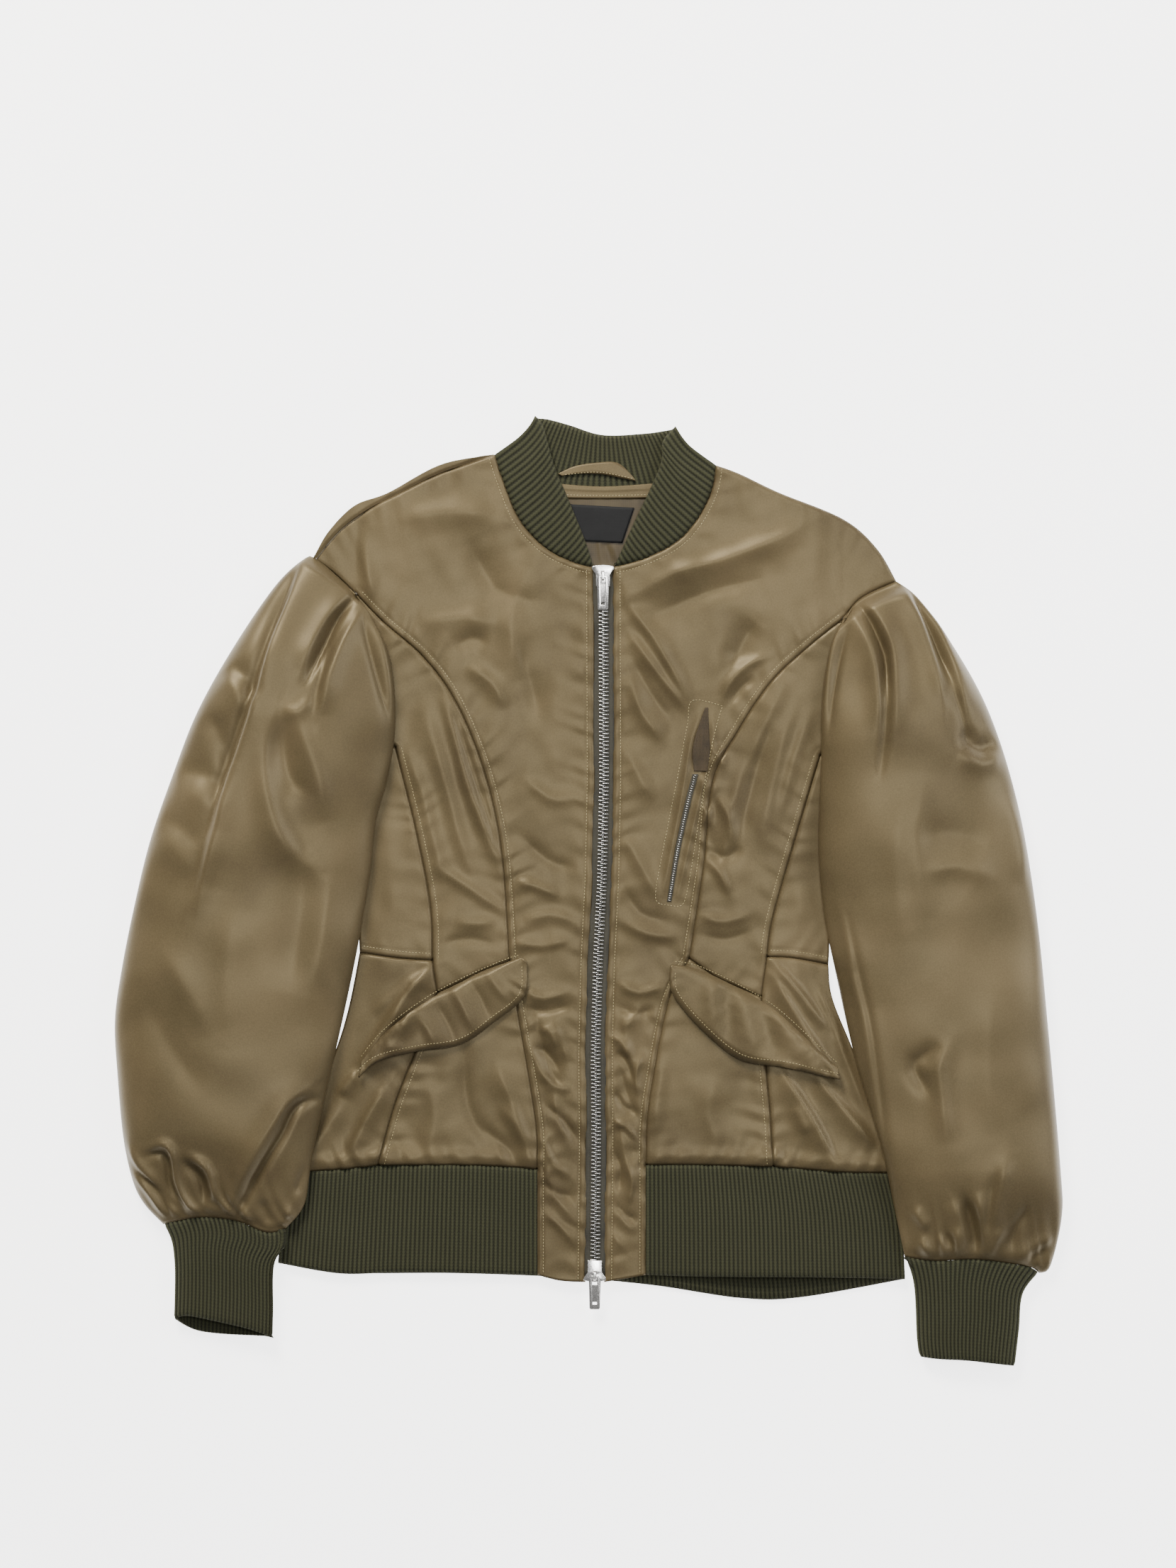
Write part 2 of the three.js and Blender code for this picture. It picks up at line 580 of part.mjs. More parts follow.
// Columns as in the fold tables of the fronts.
const sleeveRidges = {
  right: [
    [377, 1039, 377, 1131, 10, 3.5],
    [377, 1131, 447, 1228, 9, 3.0],
    [321, 950, 355, 1002, 8, 2.2],
    [266, 1094, 325, 1128, 8, 2.2],
    [240, 1165, 266, 1187, 8, 2.0],
    [225, 1350, 300, 1450, 12, 2.0],
    [220, 1614, 266, 1665, 5, 2.5],
    [300, 1620, 304, 1700, 5, 2.0],
    [190, 1655, 233, 1716, 4, 2.2],
    [245, 1672, 276, 1712, 4, 2.2],
    [285, 1680, 294, 1712, 4, 2.0],
    [345, 1690, 350, 1716, 5, 1.5],
    [400, 1000, 470, 930, 10, 1.5],
    [430, 1350, 470, 1250, 10, 2.0],
  ],
  left: [
    [1300, 1500, 1330, 1480, 8, 2.2],
    [1325, 1545, 1333, 1610, 8, 2.4],
    [1400, 1040, 1370, 1060, 8, 2.0],
    [1300, 1230, 1400, 1240, 12, 1.8],
    [1420, 1120, 1440, 1250, 8, 2.0],
    [1290, 1706, 1309, 1730, 4, 1.8],
    [1305, 1745, 1312, 1768, 4, 1.8],
    [1325, 1740, 1338, 1766, 4, 1.8],
    [1350, 1730, 1352, 1766, 4, 2.0],
    [1415, 1640, 1398, 1740, 6, 2.4],
    [1410, 1725, 1398, 1766, 4, 2.0],
    [1440, 1765, 1480, 1742, 5, 2.2],
    [1215, 1300, 1260, 1690, 7, 2.0],
    [1240, 1100, 1232, 1250, 9, 1.8],
  ],
};
const sleeveTucks = {
  right: [
    [425, 802, 362, 987, 9, 3.0],
    [362, 987, 284, 1257, 9, 2.6],
    [501, 841, 434, 961, 8, 4.0],
    [525, 870, 552, 1010, 7, 2.4],
    [451, 1550, 334, 1715, 10, 4.0],
  ],
  left: [
    [1208, 850, 1249, 930, 8, 3.6],
    [1249, 930, 1240, 1080, 8, 2.0],
    [1283, 826, 1340, 945, 8, 3.0],
    [1340, 945, 1363, 1035, 8, 2.4],
    [1184, 906, 1163, 1046, 7, 2.2],
    [1358, 1690, 1380, 1768, 5, 3.0],
  ],
};

const sleeveRows = 24;
const sleeveColumns = 10;
const sleeveWall = 2;
const roundEdge = 8.5; // height of the middle of a sleeve's round edge
const sleevePeak = { cap: 13, full: 31, cuff: 17 };
const edgeClear = 4; // least rise of a sleeve's edge over its underside, and of its peak over its edge
const bodyStep = { start: -9, end: -2 }; // a sleeve steps up between these places outside the body's side

// How far a place lies inside the body's side line, in mm.
function distanceOntoBody(side, point) {
  return side === "right" ? point.x - sideXAt(side, point.y) : sideXAt(side, point.y) - point.x;
}

// Underside of a sleeve or cuff: the floor beside the body, and a step up where it lies on the body.
function undersideHeight(side, point) {
  return overBody * smooth(bodyStep.start, bodyStep.end, distanceOntoBody(side, point));
}

function sleevePeakAt(share) {
  const rise = (sleevePeak.full - sleevePeak.cap) * smooth(0, 0.22, share);
  const fall = (sleevePeak.full - sleevePeak.cuff) * smooth(0.86, 1, share);
  return sleevePeak.cap + rise - fall;
}

// Rounded sections across a sleeve: 0 at its edges and 1 over its middle.
function topCrown(share) {
  return Math.sqrt(Math.max(0, 1 - Math.abs(2 * share - 1) ** 2.6));
}

function underCrown(share) {
  return Math.sqrt(Math.max(0, 1 - Math.abs(2 * share - 1) ** 8));
}

// How far a sleeve's round edge stands up, from the armhole to the cuff.
const cuffCoverage = 0.8;

function edgeCoverage(down) {
  return 0.6 + 0.4 * smooth(0, 0.2, down) - (1 - cuffCoverage) * smooth(0.86, 1, down);
}

function edgeAt(side, row, share, coverage) {
  const least = (p) => undersideHeight(side, p) + edgeClear;
  const ends = [row[0], row.at(-1)].map((p) => Math.max(roundEdge * coverage, least(p)));
  return ends[0] + (ends[1] - ends[0]) * share;
}

// Moves a point of a cross row inwards from both edges, for the inner face of a wall.
function insetAlong(row, share, depth) {
  const across = row.at(-1).clone().sub(row[0]).normalize();
  return row[0].clone().lerp(row.at(-1), share).addScaledVector(across, depth * (1 - 2 * share));
}

function addSleeveTop(side, plan) {
  const face = (depth) => plan.map((row, i) => row.map((p, j) => {
    const down = i / sleeveRows;
    const share = j / sleeveColumns;
    const bend = topCrown(share);
    const edge = edgeAt(side, row, share, edgeCoverage(down));
    const peak = Math.max(sleevePeakAt(down), edge + edgeClear) - depth;
    const folds = foldRise(p, sleeveRidges[side], sleeveTucks[side]) * smooth(0, 0.6, bend);
    const across = row.at(-1).clone().sub(row[0]).normalize();
    const place = p.clone().addScaledVector(across, depth * (1 - 2 * share));
    return new THREE.Vector3(place.x, place.y, edge + seamGap / 2 + (peak - edge) * bend + folds);
  }));
  addPiece(`sleeve_top_${side}`, wallGeometry(face(0), face(sleeveWall)), satin);
}

// Shares across a row of the under sleeve, with two of them on the step up to the body.
function underShares(side, row) {
  const mirrored = side === "left";
  const at = (share) => row[0].clone().lerp(row.at(-1), mirrored ? 1 - share : share);
  const crossing = (limit, fallback) => {
    for (let share = 0.4; share < fallback; share += 0.01) {
      if (distanceOntoBody(side, at(share)) > limit) return share;
    }
    return fallback;
  };
  const stepEnd = crossing(bodyStep.end, 0.94);
  const stepStart = Math.min(crossing(bodyStep.start - 0.5, 0.86), stepEnd - 0.05);
  const shares = [0, 0.04, 0.4 * stepStart, stepStart, stepEnd, (stepEnd + 1.9) / 2.9, 1];
  return mirrored ? shares.map((share) => 1 - share).reverse() : shares;
}

function addSleeveUnder(side, plan) {
  const face = (depth) => plan.map((row, i) => underShares(side, row).map((share) => {
    const edge = edgeAt(side, row, share, edgeCoverage(i / sleeveRows));
    const outerPlace = row[0].clone().lerp(row.at(-1), share);
    const place = insetAlong(row, share, depth);
    const low = undersideHeight(side, outerPlace) + depth;
    const high = edge - seamGap / 2;
    return new THREE.Vector3(place.x, place.y, high - (high - low) * underCrown(share));
  }));
  addPiece(`sleeve_under_${side}`, wallGeometry(face(sleeveWall), face(0)), satin);
}

function buildSleeve(side) {
  const shape = sleeves[side];
  const outer = sample(shape.outer, sleeveRows);
  const inner = sample(shape.inner, sleeveRows);
  const armhole = side === "right" ? lines.right.armhole : [...lines.left.armhole].reverse();
  const top = respace(armhole, sleeveColumns);
  const cuffSeam = sample(shape.cuffSeam, sleeveColumns);
  const plan = side === "right" ? patch(outer, inner, top, cuffSeam) : patch(inner, outer, top, cuffSeam);
  addSleeveTop(side, plan);
  const straight = plan.map((row) => [row[0], row.at(-1)]);
  addSleeveUnder(side, straight);
}

// Cuffs: ribbed tubes, pressed flat, open at the hand. Columns: x, y.
const cuffs = {
  right: {
    atLeft: [[230, 1727], [241, 1752], [245, 1786], [245, 1828], [244, 1861]],
    atRight: [[403, 1733], [402, 1757], [388, 1785], [387, 1849], [386, 1886]],
    topMouth: [[244, 1861], [266, 1856], [317, 1866], [350, 1874], [386, 1886]],
    underMouth: [[244, 1861], [275, 1877], [317, 1883], [386, 1886]],
  },
  left: {
    atLeft: [[1276, 1773], [1288, 1814], [1292, 1888], [1296, 1914]],
    atRight: [[1466, 1796], [1444, 1826], [1439, 1875], [1433, 1927]],
    topMouth: [[1296, 1914], [1325, 1917], [1366, 1919], [1433, 1927]],
    underMouth: [[1296, 1914], [1325, 1918], [1366, 1920], [1433, 1927]],
  },
};
const cuffHeight = 15;
const cuffRows = 3;
const cuffRibs = 25; // ribs on the upper side
const cuffUnderCells = 8;

function buildCuff(side) {
  const shape = cuffs[side];
  const atLeft = sample(shape.atLeft, cuffRows);
  const atRight = sample(shape.atRight, cuffRows);
  const topCells = 2 * cuffRibs;
  const seamLine = sample(sleeves[side].cuffSeam, sleeveColumns);
  for (const point of seamLine) point.y -= seamGap;
  atLeft[0].copy(seamLine[0]);
  atRight[0].copy(seamLine.at(-1));
  const topMouth = respace(sample(shape.topMouth, 8), topCells);
  const topPlan = patch(atLeft, atRight, respace(seamLine, topCells), topMouth);
  const underMouth = respace(sample(shape.underMouth, 8), cuffUnderCells);
  const underSeam = respace([seamLine[0], seamLine.at(-1)], cuffUnderCells);
  const underPlan = patch(atLeft, atRight, underSeam, underMouth);
  const ring = (depth) => topPlan.map((row, i) => {
    const under = underPlan[i];
    const moved = (p, share, line) => {
      const across = line.at(-1).clone().sub(line[0]).normalize();
      return p.clone().addScaledVector(across, depth * (1 - 2 * share));
    };
    const above = row.map((p, j) => {
      const share = j / topCells;
      const edge = edgeAt(side, row, share, cuffCoverage);
      const rib = depth === 0 && j % 2 === 1 ? ribRise : 0;
      const place = moved(p, share, row);
      return new THREE.Vector3(place.x, place.y, edge + (cuffHeight - depth + rib - edge) * topCrown(share));
    });
    const below = under.slice(1, -1).map((p, k) => {
      const share = (k + 1) / cuffUnderCells;
      const edge = edgeAt(side, row, share, cuffCoverage);
      const low = undersideHeight(side, p) + depth;
      const place = moved(p, share, under);
      return new THREE.Vector3(place.x, place.y, edge - (edge - low) * underCrown(share));
    });
    return [...above, ...below.reverse()];
  });
  addPiece(`cuff_${side}`, wallGeometry(ring(0), ring(ribThick), true), knit);
}

// Collar: a rib band whose ends lie over its back. Columns: x, y.
const wings = {
  right: {
    edge: [[755, 586], [767, 603], [782, 657], [803, 707], [827, 767], [836, 797]],
    fold: [[698, 641], [730, 618], [747, 600], [755, 586]],
  },
  left: {
    edge: [[953, 601], [935, 622], [933, 650], [917, 690], [893, 740], [868, 797]],
    fold: [[953, 601], [963, 617], [977, 632], [1010, 656]],
  },
};
const wingRibs = 25;
const wingReach = 0.96; // share of the neckline that a wing covers
const backCollarRibs = 34;
// Plain inside of a wing over the floor, from its seam to its free edge, at the fold and beyond it.
const wingInside = { atFold: [4.1, 4.3, 4.6], beyond: [4.6, 7.2, 7.0] };
const wingTipDrop = 0.35; // share of that rise that a wing loses at its tip

function buildWing(side) {
  const shape = wings[side];
  const rows = 2 * wingRibs;
  const neckline = lines[side].neckline;
  const alongSeam = (_, i) => pointAlong(neckline, (wingReach * i) / rows);
  const seam = Array.from({ length: rows + 1 }, alongSeam);
  const edge = respace(sample(shape.edge, 12), rows);
  const fold = respace(sample(shape.fold, 6), 2);
  const tip = respace(side === "right" ? [seam.at(-1), edge.at(-1)] : [edge.at(-1), seam.at(-1)], 2);
  const grid = side === "right" ? patch(seam, edge, fold, tip) : patch(edge, seam, fold, tip);
  const inner = grid.map((row, i) => row.map((p, j) => {
    const fromSeam = side === "right" ? j : 2 - j;
    const share = smooth(0, 0.25, i / rows) * (1 - wingTipDrop * smooth(0.8, 1, i / rows));
    const low = wingInside.atFold[fromSeam];
    return new THREE.Vector3(p.x, p.y, low + (wingInside.beyond[fromSeam] - low) * share);
  }));
  const outer = inner.map((row, i) => row.map((p) => {
    const rib = i % 2 === 1 ? ribRise : 0;
    return new THREE.Vector3(p.x, p.y, p.z + ribThick - ribRise / 2 + rib);
  }));
  addPiece(`collar_${side}`, wallGeometry(outer, inner), knit);
}

function buildBackCollar() {
  const columns = 2 * backCollarRibs;
  const fold = [[757, 590], [773, 591], [803, 599], [850, 613], [910, 611], [951, 605]];
  const neck = [[712, 654], [728, 668], [762, 684], [850, 690], [935, 685], [978, 672], [998, 657]];
  const top = respace(sample(fold, 12), columns);
  const bottom = respace(sample(neck, 12), columns);
  const atLeft = respace([top[0], bottom[0]], 1);
  const atRight = respace([top.at(-1), bottom.at(-1)], 1);
  const grid = patch(atLeft, atRight, top, bottom);
  const outer = grid.map((row) => row.map((p, j) => {
    const rib = j % 2 === 1 ? ribRise : 0;
    return new THREE.Vector3(p.x, p.y, ribThick - ribRise / 2 + rib);
  }));
  const inner = grid.map((row) => row.map((p) => new THREE.Vector3(p.x, p.y, 0)));
  addPiece("collar_back", wallGeometry(outer, inner), knit);
}

// A flat strip or patch of cloth at one height, cut to four lines of the front view.
function addFlat(name, shape, low, thickness, material, cells = [4, 6]) {
  const left = sample(shape.left, cells[0]);
  const right = sample(shape.right, cells[0]);
  const top = respace(sample(shape.top, 8), cells[1]);
  const bottom = respace(sample(shape.bottom, 8), cells[1]);
  return addPanel(name, patch(left, right, top, bottom), () => low + thickness, thickness, material);
}

// What shows inside the neck: facing, lining with its plain label, and hanger loop. Columns: x, y.
const liningThick = 0.9;

function buildNeckInside() {
  addFlat("back_lining", {
    left: [[782, 702], [798, 740], [815, 775], [838, 800]],
    right: [[926, 702], [905, 740], [885, 775], [866, 800]],
    top: [[782, 702], [850, 703], [926, 702]],
    bottom: [[838, 800], [866, 800]],
  }, backTop + layerGap, liningThick, liningCloth);
  addFlat("neck_facing", {
    left: [[772, 686], [780, 702]],
    right: [[938, 686], [928, 702]],
    top: [[772, 686], [850, 691], [938, 686]],
    bottom: [[780, 702], [850, 702.4], [928, 702]],
  }, backTop + layerGap, 1.4, satin, [1, 8]);
  addFlat("neck_label", {
    left: [[803, 711], [814, 763]],
    right: [[895, 716], [878, 766]],
    top: [[803, 711], [895, 716]],
    bottom: [[814, 763], [878, 766]],
  }, backTop + layerGap + liningThick + layerGap, 0.8, blackTape, [2, 3]);
  addFlat("hanger_loop", {
    left: [[787, 668], [793, 671]],
    right: [[893, 672], [897, 678]],
    top: [[787, 668], [812, 657], [845, 652], [872, 653], [893, 672]],
    bottom: [[793, 671], [815, 668], [850, 669], [875, 674], [897, 678]],
  }, ribThick + ribRise / 2 + layerGap, 1.2, satin, [1, 10]);
}

// Zip tapes with their beaded inner edge. The teeth stand on the beads.
const tapeTop = 6.4;
const tapeThick = 1.2;
const beadWide = 1.9;
const beadTop = 7.4;
const beadSlope = 0.5; // width over which the bead drops to the tape
const tapeStartY = 806;
const tapeEndY = 1800;

function buildTape(side) {
  const reach = side === "right" ? -1 : 1;
  const rows = 26;
  const offsets = [tapeHalf * step, beadWide + beadSlope, beadWide, 0];
  const heights = [tapeTop, tapeTop, beadTop, beadTop];
  const frontEdge = lines[side].zip;
  const ordered = side === "right" ? offsets : [...offsets].reverse();
  const orderedHeights = side === "right" ? heights : [...heights].reverse();
  const grid = [];
  for (let i = 0; i <= rows; i += 1) {
    const share = i / rows;
    const y = toPlan([0, tapeStartY + (tapeEndY - tapeStartY) * share]).y;
    const outerX = edgeAcross(frontEdge, y);
    const middleX = outerX - reach * tapeHalf * step;
    grid.push(ordered.map((offset) => new THREE.Vector2(middleX + reach * offset, y)));
  }
  const plan = pullIn(grid, seamGap / 2);
  const outer = plan.map((row) => row.map((p, j) => new THREE.Vector3(p.x, p.y, orderedHeights[j])));
  const inner = plan.map((row) => row.map((p) => new THREE.Vector3(p.x, p.y, tapeTop - tapeThick)));
  addPiece(`zip_tape_${side}`, wallGeometry(outer, inner), greyTape);
}

function edgeAcross(line, y) {
  let k = 1;
  while (k < line.length - 1 && line[k].y > y) k += 1;
  const share = (line[k - 1].y - y) / (line[k - 1].y - line[k].y);
  return line[k - 1].x + (line[k].x - line[k - 1].x) * share;
}

// Sliders and pull tabs of the two-way zip
const slider = {
  plateLow: beadTop + 0.4, plateThick: 1.6, wide: 16.5, narrow: 10.5, long: 16,
  underLow: 3.5, underThick: 1.2, postRadius: 1.6, postInset: 0.4,
};
const bridge = { long: 7.2, inside: 4.4, wide: 2.2, rise: 4.1, bar: 1.2 };
const tab = {
  long: 24.5, wide: 9, thick: 1.3, barLong: 1.2,
  slotLong: 5.3, slotWide: 3.8, holeWide: 3.2, holeLong: 2, holeUp: 3.6,
};
const pinFromBridge = 1.1; // the pin hangs this far below the bridge's middle
const pinOverPlate = 1.45;
const pinHeight = slider.plateLow + slider.plateThick + pinOverPlate;
const zipPulls = [
  { name: "top", middle: [850.5, 812], wideEndUp: true, bridgeAt: 0, tilt: 6 },
  { name: "bottom", middle: [839, 1793], wideEndUp: false, bridgeAt: -3.2, tilt: 8 },
];

function solidOf(geometry) {
  const bare = geometry.clone();
  bare.deleteAttribute("normal");
  bare.deleteAttribute("uv");
  const merged = mergeVertices(bare, 1e-4);
  return new wasm.Manifold(new wasm.Mesh({
    numProp: 3,
    vertProperties: new Float32Array(merged.getAttribute("position").array),
    triVerts: new Uint32Array(merged.index.array),
  }));
}

function geometryOf(solid) {
  const mesh = solid.getMesh();
  const geometry = new THREE.BufferGeometry();
  geometry.setAttribute("position", new THREE.BufferAttribute(mesh.vertProperties.slice(), 3));
  geometry.setIndex(new THREE.BufferAttribute(mesh.triVerts.slice(), 1));
  geometry.computeVertexNormals();
  return geometry;
}

function extrude(shape, depth, low) {
  const geometry = new THREE.ExtrudeGeometry(shape, { depth, bevelEnabled: false, curveSegments: 6 });
  return geometry.translate(0, 0, low);
}

function shieldShape() {
  const { wide, narrow, long } = slider;
  const shape = new THREE.Shape();
  shape.moveTo(-narrow / 2, -long / 2);
  shape.lineTo(narrow / 2, -long / 2);
  shape.lineTo(narrow / 2, long * 0.05);
  shape.lineTo(wide / 2, long * 0.32);
  shape.lineTo(wide / 2, long * 0.42);
  shape.quadraticCurveTo(wide * 0.28, long / 2, 0, long / 2);
  shape.quadraticCurveTo(-wide * 0.28, long / 2, -wide / 2, long * 0.42);
  shape.lineTo(-wide / 2, long * 0.32);
  shape.lineTo(-narrow / 2, long * 0.05);
  shape.closePath();
  return shape;
}

// The bridge is an arch along the slider, extruded across it.
function bridgeSolid(topOfPlate, shift) {
  const { long, inside, wide, rise, bar } = bridge;
  const arch = new THREE.Shape();
  arch.moveTo(-long / 2, -0.3);
  arch.lineTo(-long / 2, rise - 1);
  arch.lineTo(-long / 2 + 1, rise);
  arch.lineTo(long / 2 - 1, rise);
  arch.lineTo(long / 2, rise - 1);
  arch.lineTo(long / 2, -0.3);
  arch.lineTo(inside / 2, -0.3);
  arch.lineTo(inside / 2, rise - bar);
  arch.lineTo(-inside / 2, rise - bar);
  arch.lineTo(-inside / 2, -0.3);
  arch.closePath();
  const geometry = extrude(arch, wide, -wide / 2);
  geometry.rotateX(Math.PI / 2).rotateZ(Math.PI / 2);
  return solidOf(geometry.translate(0, shift, topOfPlate));
}

function buildSlider(pull) {
  const turn = pull.wideEndUp ? 1 : -1;
  const plate = solidOf(extrude(shieldShape(), slider.plateThick, slider.plateLow));
  const under = solidOf(extrude(shieldShape(), slider.underThick, slider.underLow));
  const radius = slider.postRadius;
  const post = new THREE.CylinderGeometry(radius, radius, slider.plateLow - slider.underLow, 10);
  post.rotateX(Math.PI / 2);
  const postMiddle = (slider.plateLow + slider.underLow + slider.underThick / 2) / 2;
  post.translate(0, slider.long / 2 - radius - slider.postInset, postMiddle);
  const bridgeOn = bridgeSolid(slider.plateLow + slider.plateThick, turn * pull.bridgeAt);
  const body = plate.add(under).add(solidOf(post)).add(bridgeOn);
  const mesh = addPiece(`zip_slider_${pull.name}`, geometryOf(body), nickel);
  const middle = toPlan(pull.middle);
  mesh.position.set(middle.x, middle.y, 0);
  mesh.rotation.z = pull.wideEndUp ? 0 : Math.PI;
}

function buildPullTab(pull) {
  const half = tab.wide / 2;
  const shape = new THREE.Shape();
  shape.moveTo(-half + 1.6, tab.barLong / 2);
  shape.lineTo(-half, -1.4);
  shape.lineTo(-half * 0.86, -tab.long + 1.2);
  shape.quadraticCurveTo(-half * 0.84, -tab.long, -half * 0.84 + 1.2, -tab.long);
  shape.lineTo(half * 0.84 - 1.2, -tab.long);
  shape.quadraticCurveTo(half * 0.84, -tab.long, half * 0.86, -tab.long + 1.2);
  shape.lineTo(half, -1.4);
  shape.lineTo(half - 1.6, tab.barLong / 2);
  shape.closePath();
  const rectangle = (wide, high, low) => {
    const hole = new THREE.Path();
    hole.moveTo(-wide / 2, low);
    hole.lineTo(-wide / 2, low + high);
    hole.lineTo(wide / 2, low + high);
    hole.lineTo(wide / 2, low);
    hole.closePath();
    return hole;
  };
  shape.holes.push(rectangle(tab.slotWide, tab.slotLong, -tab.barLong / 2 - tab.slotLong));
  shape.holes.push(rectangle(tab.holeWide, tab.holeLong, -tab.long + tab.holeUp));
  const geometry = extrude(shape, tab.thick, -tab.thick / 2);
  geometry.rotateX(THREE.MathUtils.degToRad(pull.tilt));
  const mesh = addPiece(`pull_tab_${pull.name}`, geometryOf(solidOf(geometry)), nickel);
  const middle = toPlan(pull.middle);
  mesh.position.set(middle.x, middle.y + pull.bridgeAt - pinFromBridge, pinHeight);
}

// Chest pocket: a slit closed by a small zip, gaping at its top over its facing. Columns: x, y.
const pocketReach = 6; // what lies in the pocket's slit clears the folds this near to it
const pocketClear = 0.5;
const pocketThick = 1;

function buildChestPocket() {
  const onFront = (name, shape, material) => {
    const top = respace(sample(shape.top, 2), 2);
    const bottom = respace(sample(shape.bottom, 2), 2);
    const grid = patch(sample(shape.left, 8), sample(shape.right, 8), top, bottom);
    const height = (p) => highestNear(p, pocketReach) + pocketClear + pocketThick;
    addPanel(name, grid, height, pocketThick, material);
  };
  onFront("chest_pocket_zip", {
    left: [[977, 1092], [967, 1130], [953, 1197], [941, 1272]],
    right: [[985, 1092], [975, 1130], [960, 1197], [947, 1272]],
    top: [[977, 1092], [985, 1092]],
    bottom: [[941, 1272], [947, 1272]],
  }, greyTape);
  onFront("chest_pocket_facing", {
    left: [[995, 998], [983, 1032], [977, 1060], [979, 1088]],
    right: [[999, 998], [1000, 1032], [1001, 1060], [997, 1088]],
    top: [[995, 998], [999, 998]],
    bottom: [[979, 1088], [997, 1088]],
  }, liningCloth);
}

// Strip of the back that rolls over the wearer's right shoulder and shows beside the front's seam.
const shoulderDrop = 0.4; // the strip lies this far below the front's face at their seam

function buildShoulderStrip() {
  const outerEdge = sample([[442, 787], [463, 750], [500, 713], [547, 695], [622, 655], [698, 641]], 6);
  const seam = sample(seams.right.shoulder, 6);
  seam[0].copy(toPlan([444, 790]));
  const cut = respace([outerEdge[0], seam[0]], 1);
  const neckEnd = respace([outerEdge[6].clone().add(new THREE.Vector2(-2, 1)), seam[6]], 1);
  outerEdge[6].copy(neckEnd[0]);
  const grid = patch(cut, neckEnd, outerEdge, seam);
  const heights = [sideTop, frontTop - shoulderDrop];
  const outer = grid.map((row, i) => row.map((p) => new THREE.Vector3(p.x, p.y, heights[i])));
  const inner = outer.map((row) => row.map((p) => new THREE.Vector3(p.x, p.y, p.z - shellThick)));
  addPiece("back_shoulder_right", wallGeometry(outer, inner), satin);
}

buildBack();
buildShoulderStrip();
for (const side of ["right", "left"]) {
  buildFront(side);
  buildFlap(side);
  buildFrontRib(side);
  buildSleeve(side);
  buildCuff(side);
  buildWing(side);
  buildTape(side);
}
buildBackRib();
buildBackCollar();
buildNeckInside();
buildChestPocket();
for (const pull of zipPulls) {
  buildSlider(pull);
  buildPullTab(pull);
}

export default jacket;
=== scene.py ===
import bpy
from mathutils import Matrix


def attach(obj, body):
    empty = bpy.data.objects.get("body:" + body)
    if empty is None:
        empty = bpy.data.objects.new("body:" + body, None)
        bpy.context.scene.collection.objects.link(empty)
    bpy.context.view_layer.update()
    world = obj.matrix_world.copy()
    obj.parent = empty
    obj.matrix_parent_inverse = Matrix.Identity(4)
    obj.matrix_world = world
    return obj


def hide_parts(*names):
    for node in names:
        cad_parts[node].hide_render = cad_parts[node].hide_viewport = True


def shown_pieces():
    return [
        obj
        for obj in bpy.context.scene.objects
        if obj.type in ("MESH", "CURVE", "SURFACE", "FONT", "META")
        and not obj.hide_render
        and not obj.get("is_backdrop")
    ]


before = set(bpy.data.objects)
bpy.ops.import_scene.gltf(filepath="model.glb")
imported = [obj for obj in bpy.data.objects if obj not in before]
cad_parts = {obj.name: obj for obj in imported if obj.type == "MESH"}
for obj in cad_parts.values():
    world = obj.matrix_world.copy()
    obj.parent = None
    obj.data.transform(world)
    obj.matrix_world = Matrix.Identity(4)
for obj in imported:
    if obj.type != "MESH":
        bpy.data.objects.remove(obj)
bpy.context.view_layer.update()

import math

import bpy
import numpy as np

# A bomber jacket laid flat on its back. Right and left are the wearer's, as in the node names.
# Outlines and folds are listed in steps of the front view, x across and y down. Widths and rises
# of folds are in millimetres. Everything else is in metres.
view = {
    "wide": 1659, "high": 2212, "zipX": 845, "waistY": 1345,
    "step": 0.657 / 1240,  # 657 mm from collar to hem
}
mm = 0.001
cloth = {
    "spacing": 1.95 * mm,  # of the points on the fronts
    "thick": 1.1 * mm,
    "seamPull": 0.06 * mm,  # how far a panel stops short of its seam
    "sliver": 6,  # width of a side front's upper tip, in steps of the view
    "frontTop": 7 * mm,
    "sideTop": 5 * mm,
    "sideFall": 26 * mm,
    "overBody": 8.4 * mm,  # the underside of a sleeve where it lies on the body
    "calmSide": 9 * mm,  # folds fade out this near the sides
    "calmHem": (-0.232, -0.2),  # and between these two places above the hem
    "allNear": 1.0,  # farther than any point of the jacket lies from a line
    "weld": 0.01 * mm,
}


def toPlan(table):
    points = np.array(table, float)
    return np.stack([(points[:, 0] - view["zipX"]), (view["waistY"] - points[:, 1])], 1) * view["step"]


def reachAlong(line):
    return np.r_[0, np.cumsum(np.linalg.norm(np.diff(line, axis=0), axis=1))]


def placesAt(line, want):
    reach = reachAlong(line)
    return np.stack([np.interp(want, reach, line[:, k]) for k in range(line.shape[1])], 1)


def respace(line, cells):
    return placesAt(line, np.linspace(0, reachAlong(line)[-1], cells + 1))


def lineLength(line):
    return float(np.linalg.norm(np.diff(line, axis=0), axis=1).sum())


def trimmed(line, start, end):
    length = lineLength(line)
    count = max(2, round((length - start - end) / (2 * mm)))
    return placesAt(line, np.linspace(start, length - end, count))


# Unit steps square to a line that runs downwards, towards the viewer's right.
def sideways(line):
    run = np.gradient(line, axis=0)
    run /= np.linalg.norm(run, axis=1)[:, None]
    return np.stack([-run[:, 1], run[:, 0]], 1)


def endsBetween(first, last):
    return np.stack([first[0], last[0]]), np.stack([first[-1], last[-1]])


